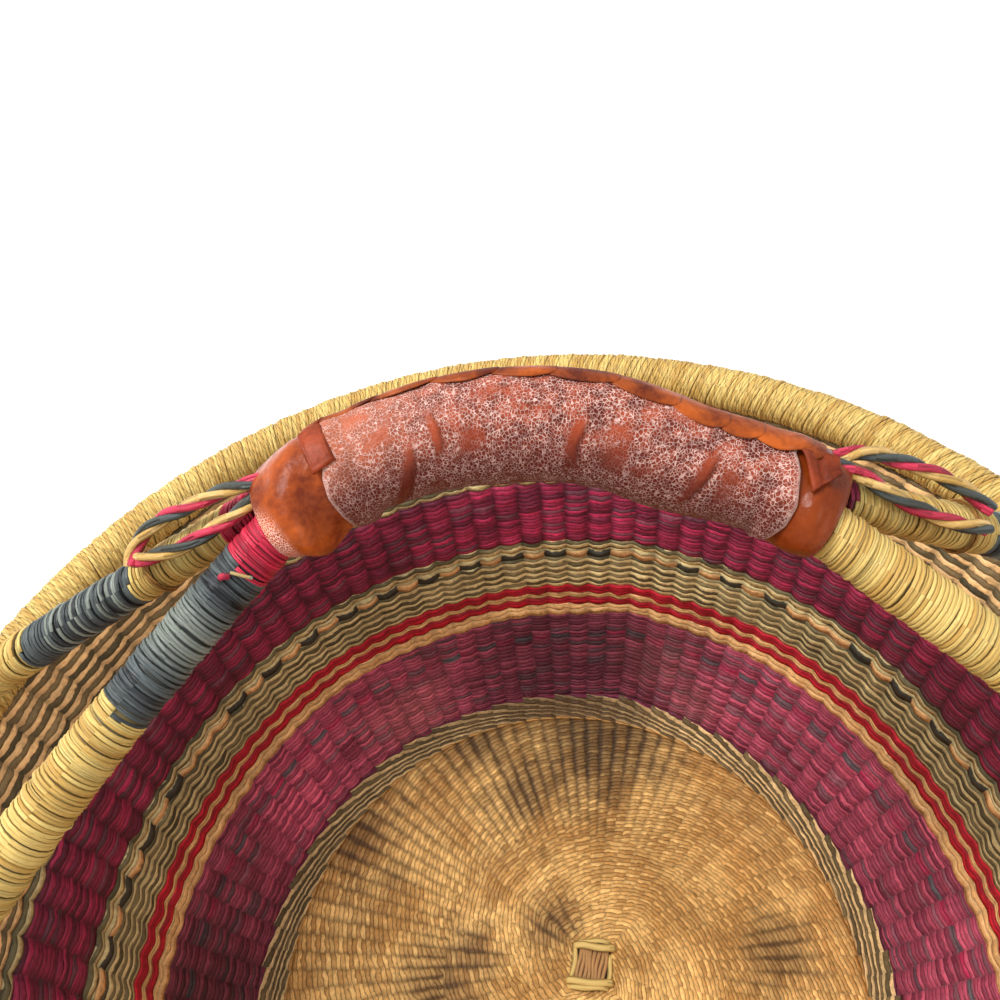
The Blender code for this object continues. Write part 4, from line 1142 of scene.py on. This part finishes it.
def make_sleeve():
    """The crackled leather sleeve, which ends in a lobe over each collar, with pale cut edges.

    Its skin lies on the grip's ellipse, with shallow valleys along the creases; rows run from end to
    end on the outside and back on the inside.
    """
    rows, columns = 250, 150
    turn = np.arange(columns) / columns * TAU
    low, high = (np.interp(np.degrees(turn), *end) / 1000 for end in (SLEEVE_LEFT, SLEEVE_RIGHT))
    share = np.linspace(0, 1, rows)[:, None]
    along = low * (1 - share) + high * share
    crease, valley = crease_depth(along, turn)
    border = np.minimum(along - low, high - along)
    lift = end_lift(along, turn) + 0.0003 * crease - 0.0008 * valley
    lift = lift + 0.0002 * (waves(turn * 2 + along * 90, 3, 1, 7) + waves(along * 160, 4, 1, 8))
    rounded = 0.0005 * (1 - np.clip(border / 0.0008, 0, 1)) ** 2
    outer = grip_surface(along, turn, lift - rounded)
    inner = grip_surface(along, turn, lift - LEATHER_THICK)[::-1]
    uv = np.zeros((2 * rows + 1, columns + 1, 2))
    uv[:-1, :columns, 0] = np.vstack([along, along[::-1]])
    uv[:-1, columns, 0] = uv[:-1, 0, 0]
    uv[..., 1] = np.r_[turn, TAU] * GRIP_ROUND
    piece = grid("sleeve_leather", np.concatenate([outer, inner]), leather_look(), uv)
    cut = bell(border, 0.0, 0.0007)
    for key, outside, inside in (("crease", crease, 1.0), ("valley", valley, 0.0), ("cut", cut, 0.0)):
        keep(piece, key, outside, 0 * outside + inside)
    rides(piece, "handle", "sleeve_leather", "leather_sleeve")
    along = np.linspace(-CORE_SHARE, CORE_SHARE, 40)[:, None] * GRIP_HALF
    bundle = bundle_look("grip bundle", "straw_dark")
    core = grid("grip_bundle", grip_surface(along, turn, -CORE_SINK), bundle, closed=False)
    rides(core, "handle", "straw", "grip_core")


def reach(way, wide, deep):
    """How far an ellipse with these half axes reaches in one direction."""
    return 1 / np.hypot((way @ wide) / (wide @ wide), (way @ deep) / (deep @ deep))


def collar_mouth(side):
    """The middle and half axes of a collar's mouth, as in the frame."""
    along = collar_along(side, 1.0)
    direction, up = arch_frame(along)
    across = spread_direction(side)
    thin = unit(np.cross(direction, across))
    thin = thin * (1.0 if thin @ up > 0 else -1.0)
    middle = arch(along)
    front, rear = (sample(leg_path(side, place), np.array([MOUTH_DEPTH]))[0] for place in (-1, 1))
    low = (front - middle) @ across - LEG_CORE[-1]
    high = (rear - middle) @ across + LEG_CORE[1]
    wide = across * ((high - low) / 2 + MOUTH_CLEAR)
    return middle + across * (low + high) / 2, thin * MOUTH_HALF, wide


# Where a collar starts, as a share of the grip's half length, and how its section turns from the
# grip's into the mouth's
COLLAR_START = {-1: 0.65, 1: 0.72}
COLLAR_PLACES = (0.0, 0.830, 0.885, 0.935, 1.0)
COLLAR_BLEND = (0.0, 0.0, 0.5, 0.9, 1.0)
# How far a collar stands off the grip: distance along the grip in millimetres, metres
COLLAR_COVER = {-1: ((49, 51, 53, 58, 64), (-0.0010, -0.0006, 0.0006, 0.0011, 0.0026)),
                1: ((54, 57, 59.5, 63, 68), (-0.0010, -0.0006, 0.0006, 0.0011, 0.0026))}


def make_collars():
    """The smooth leather collars: round over the sleeve's end, wide and flat at the mouth.

    Each ring lies between the grip's ellipse and the mouth's, taken along the same directions; the
    skin turns in at the mouth and runs back inside.
    """
    look = smooth_leather_look("collar leather", "collar", "collar_dark", 0.2, mouth=True)
    turn = np.arange(120) / 120 * TAU
    degrees = np.degrees(turn)
    for side, word in SIDES.items():
        middle, thin, wide = collar_mouth(side)
        shift = middle - arch(collar_along(side, 1.0))
        phases = np.random.RandomState(40 + side).uniform(0, TAU, 4)
        swell = 0.0008 + 0.0030 * bell(degrees, 165, 60) * (side < 0)
        shares = np.linspace(COLLAR_START[side], 1.0, 90)
        rings = []
        for share in shares:
            blend = np.interp(share, COLLAR_PLACES, COLLAR_BLEND)
            along = collar_along(side, share)
            up = arch_frame(along)[1]
            way = up * np.cos(turn)[:, None] + FRONT * np.sin(turn)[:, None]
            cover = np.interp(abs(along) * 1000, *COLLAR_COVER[side])
            tall, deep = grip_axes(along)
            narrow = reach(way, up * tall, FRONT * deep) + cover * (crest_share(turn) if cover > 0 else 1)
            far = narrow + (reach(way, thin, wide) - narrow) * blend
            fold = sum(np.sin(n * turn + p + 24 * share) for n, p in zip((2, 3, 5, 7), phases))
            far = far + 0.00016 * fold * np.interp(share, (0.8, 0.95, 1.0), (0.0, 1.0, 0.6))
            far = far + bell(share, 0.90, 0.055) * swell
            lip = 0.0012 * np.clip((share - 0.95) / 0.05, 0, 1) ** 3
            rings.append(arch(along) + shift * blend + way * (far - lip)[:, None])
        outer = np.array(rings)
        inner = (outer - unit(outer - outer.mean(axis=1, keepdims=True)) * LEATHER_THICK)[::-1]
        piece = grid(f"collar_{word}_leather", np.concatenate([outer, inner]), look)
        mouth = (np.clip((shares - 0.92) / 0.08, 0, 1)[:, None] * bell(degrees, 130, 45)
                 * (1.0 if side < 0 else 0.3))
        keep(piece, "mouth", mouth, mouth[::-1])
        rides(piece, "handle", "collar_leather", "collar_" + word)


# Edges of the strip on the crest: distance along the grip in millimetres, degrees from the crest
STRIP_FRONT = ((-57, -53, -45.4, -41.4, -26.8, -18.2, -12.8, -3.4, 12.4, 22, 32, 41.4, 48.4, 58.8, 61),
               (29, 28, 20, 23, 28, 35, 33, 37, 41, 46, 50, 54, 54, 55, 56))
STRIP_OUTER = ((-57, -54, -43, -27, -6, 12, 35, 48, 61), (-4, -6, -10, -10, -4, 2, 10, 14, 16))
# Where its folds cross, in millimetres along the grip
STRIP_FOLDS = (-57.5, -54.7, -41.9, -27.2, -12.9, 0.7, 14.3, 27.8, 41.5, 49.5, 59.3, 62)
# Corners of the two tabs, in the same measures
TABS = (("left", ((-58.8, 36), (-53.0, 36), (-51.6, 84), (-57.8, 88))),
        ("right", ((58.8, 52), (66.8, 40), (68.0, 60), (63.8, 88))))


# Where the leather begins to rise over the collars, over what length, and how far it rises
LAP_LEFT, LAP_RIGHT, LAP_RUN, LAP_LIFT = -0.048, 0.0545, 0.005, 0.0024


def end_lift(along, turn):
    """How far the leather stands off the grip where it lies over the collars: less on the crest."""
    over = np.clip(np.maximum(LAP_LEFT - along, along - LAP_RIGHT) / LAP_RUN, 0, 1)
    return LAP_LIFT * over * over * (3 - 2 * over) * crest_share(turn)


def crest_share(turn):
    """0.3 on the crest, growing to 1 at the front and the back."""
    return 0.65 - 0.35 * np.cos(np.clip(np.abs((turn + math.pi) % TAU - math.pi) * 2.2, 0, math.pi))


def make_strip():
    """The strip along the crest: one leaf from each fold to the next, its end over the next one's
    start, and the two tabs."""
    look = smooth_leather_look("strip leather", "strip", "collar_dark", 0.34)
    share, part = np.linspace(0, 1, 20), np.linspace(0, 1, 34)[:, None]
    swell = np.sin(part * math.pi) ** 0.55
    reach_in = np.radians(11) * (1 - swell) - np.radians(2) * swell
    dome = 0.0004 * np.sqrt(1 - (2 * share - 1) ** 6) + 0.0003 * swell * bell(share, 0.7, 0.3)
    leaves = []
    for k, (low, high) in enumerate(zip(STRIP_FOLDS, STRIP_FOLDS[1:])):
        along = ((low - 1.2) + (high - low + 3.0) * part) / 1000
        front, outer = (np.radians(np.interp(along * 1000, *edge)) for edge in (STRIP_FRONT, STRIP_OUTER))
        turn = outer * (1 - share) + (front - reach_in) * share
        base = end_lift(along, turn) + 0.0001 + 0.0006 * part * share
        top = grip_surface(along, turn, base + dome)
        bottom = grip_surface(along, turn, base - 0.0001)[:, ::-1]
        leaves.append(grid(f"leaf_{k}", np.hstack([top, bottom]), look, closed=False))
    rides(joined("lacing_strip_leather", leaves), "handle", "collar_leather", "lacing_strip")
    tab = smooth_leather_look("tab leather", "leather_worn", "collar_dark", 0.4)
    u, v = np.meshgrid(np.linspace(0, 1, 20), np.linspace(0, 1, 32))
    weights = np.stack([(1 - u) * (1 - v), u * (1 - v), u * v, (1 - u) * v], -1)
    edge = np.minimum(np.minimum(u, 1 - u) * 5.5, np.minimum(v, 1 - v) * 11)
    top_lift = 0.0003 * np.clip(edge / 0.4, 0, 1) ** 0.5 + 0.0003 * bell(edge, 0.5, 0.3)
    for word, corners in TABS:
        along, turn = np.moveaxis(weights @ np.array(corners), -1, 0) * [[[0.001]], [[math.radians(1)]]]
        fold = 0.0009 * bell(u, 0.4, 0.12) * (word == "right")
        base = np.maximum(end_lift(along, turn), 0.0016) + 0.0006 + 0.0002 * np.sin(v * 7 + u * 2) - fold
        top = grip_surface(along, turn, base + top_lift)
        bottom = grip_surface(along, turn, base - 0.0003)[:, ::-1]
        piece = grid(f"tab_{word}_leather", np.hstack([top, bottom]), tab, closed=False)
        rides(piece, "handle", "collar_leather", "tab_" + word)


# Soft lamps: name, place, size and power; they look at the basket's middle
LAMPS = ("key", (-0.7, 0.1, 1.3), 0.5, 16.0), ("fill", (0.9, -0.9, 1.2), 0.8, 3.0)
LAMP_TARGET = np.array([0.0, 0.0, 0.12])
# The photo's camera, as fitted: its lens in millimetres, its place, and its right, up and ahead
LENS, CAMERA_PLACE = 30.94, (0.0112, -0.0880, 0.4260)
CAMERA_AXES = (0.9946, 0.0583, -0.0861), (0.0126, 0.7543, 0.6565), (-0.1032, 0.6540, -0.7494)


def place_at(thing, place, right, up, ahead):
    """Puts a lamp or the camera at a place, looking ahead."""
    bpy.context.scene.collection.objects.link(thing)
    turned = Matrix([[*right, 0], [*up, 0], [*(-np.array(ahead)), 0], [0, 0, 0, 1]]).transposed()
    thing.matrix_world = Matrix.Translation(place) @ turned


def make_stage():
    """The white floor, the soft lamps and the camera."""
    scene = bpy.context.scene
    scene.view_settings.view_transform = "Standard"
    world = bpy.data.worlds.new("sky")
    world.use_nodes = True
    world.node_tree.nodes["Background"].inputs["Color"].default_value = (1, 1, 1, 1)
    world.node_tree.nodes["Background"].inputs["Strength"].default_value = 0.85
    scene.world = world
    look = Look("white floor", Base_Color=(0.86, 0.86, 0.86, 1), Roughness=0.9)
    rays = look.node("ShaderNodeLightPath", out="Is Camera Ray")
    glossy = Socket(look, rays.link.node.outputs["Is Glossy Ray"])
    through = Socket(look, rays.link.node.outputs["Is Transmission Ray"])
    seen = (rays + glossy + through).min(1.0) * 0.25
    look.shader.inputs["Emission Strength"].default_value = 1.0
    look.feed(look.shader.inputs["Emission Color"], look.vector(seen, seen, seen))
    bpy.ops.mesh.primitive_plane_add(size=8, location=(0, 0, 0))
    ground = bpy.context.active_object
    ground.name = "ground"
    ground.data.materials.append(look.material)
    lamps = []
    for name, place, size, power in LAMPS:
        lamp = bpy.data.lights.new(name, "AREA")
        lamp.size, lamp.energy = size, power
        lamps.append(bpy.data.objects.new(name, lamp))
        ahead = unit(LAMP_TARGET - place)
        across = unit(np.cross(ahead, Z_AXIS))
        place_at(lamps[-1], place, across, np.cross(across, ahead), ahead)
    data = bpy.data.cameras.new("camera")
    data.lens, data.sensor_width, data.clip_start = LENS, 36, 0.01
    scene.camera = bpy.data.objects.new("camera", data)
    place_at(scene.camera, CAMERA_PLACE, *CAMERA_AXES)


class MakeBands(bpy.types.Operator):
    """Makes the woven bands of the wall"""

    bl_idname = "basket.bands"
    bl_label = "Make the bands"

    def execute(self, context):
        make_bands()
        return {"FINISHED"}


class MakeFloor(bpy.types.Operator):
    """Makes the woven floor and the plaited square in it"""

    bl_idname = "basket.floor"
    bl_label = "Make the floor"

    def execute(self, context):
        make_floor()
        return {"FINISHED"}


class MakeRim(bpy.types.Operator):
    """Makes the rim roll of laid straw and its lashings"""

    bl_idname = "basket.rim"
    bl_label = "Make the rim"

    def execute(self, context):
        make_rim()
        return {"FINISHED"}


class MakeLegs(bpy.types.Operator):
    """Makes the four legs and their wraps"""

    bl_idname = "basket.legs"
    bl_label = "Make the legs"

    def execute(self, context):
        make_legs()
        return {"FINISHED"}


class MakeCords(bpy.types.Operator):
    """Makes the twisted cords and the thongs that tie them"""

    bl_idname = "basket.cords"
    bl_label = "Make the cords"

    def execute(self, context):
        make_cords()
        return {"FINISHED"}


class MakeSleeve(bpy.types.Operator):
    """Makes the crackled leather sleeve"""

    bl_idname = "basket.sleeve"
    bl_label = "Make the sleeve"

    def execute(self, context):
        make_sleeve()
        return {"FINISHED"}


class MakeCollars(bpy.types.Operator):
    """Makes the smooth leather collars"""

    bl_idname = "basket.collars"
    bl_label = "Make the collars"

    def execute(self, context):
        make_collars()
        return {"FINISHED"}


class MakeStrip(bpy.types.Operator):
    """Makes the folded strip and the tabs"""

    bl_idname = "basket.strip"
    bl_label = "Make the strip"

    def execute(self, context):
        make_strip()
        return {"FINISHED"}


class MakeStage(bpy.types.Operator):
    """Makes the floor, the lamps and the camera"""

    bl_idname = "basket.stage"
    bl_label = "Make the stage"

    def execute(self, context):
        make_stage()
        return {"FINISHED"}


OPERATORS = (MakeBands, MakeFloor, MakeRim, MakeLegs, MakeCords, MakeSleeve,
             MakeCollars, MakeStrip, MakeStage)


class BASKET_PT_panel(bpy.types.Panel):
    """The basket's settings and steps."""

    bl_label = "Basket"
    bl_idname = "BASKET_PT_panel"
    bl_space_type = "VIEW_3D"
    bl_region_type = "UI"
    bl_category = "Basket"

    def draw(self, context):
        """Lists the settings, then the steps."""
        for group in (context.scene.basket_sizes, context.scene.basket_colours):
            for key in group.__annotations__:
                self.layout.prop(group, key)
        for step in OPERATORS:
            self.layout.operator(step.bl_idname)


CLASSES = [BasketSizes, BasketColours, *OPERATORS, BASKET_PT_panel]


def register():
    """Registers the classes and the scene's settings."""
    for item in CLASSES:
        bpy.utils.register_class(item)
    bpy.types.Scene.basket_sizes = bpy.props.PointerProperty(type=BasketSizes)
    bpy.types.Scene.basket_colours = bpy.props.PointerProperty(type=BasketColours)


def unregister():
    """Takes the settings and the classes away."""
    del bpy.types.Scene.basket_colours
    del bpy.types.Scene.basket_sizes
    for item in reversed(CLASSES):
        bpy.utils.unregister_class(item)


def main():
    """Makes everything in order."""
    register()
    for step in OPERATORS:
        getattr(bpy.ops.basket, step.bl_idname[7:])()


if __name__ == "__main__":
    main()
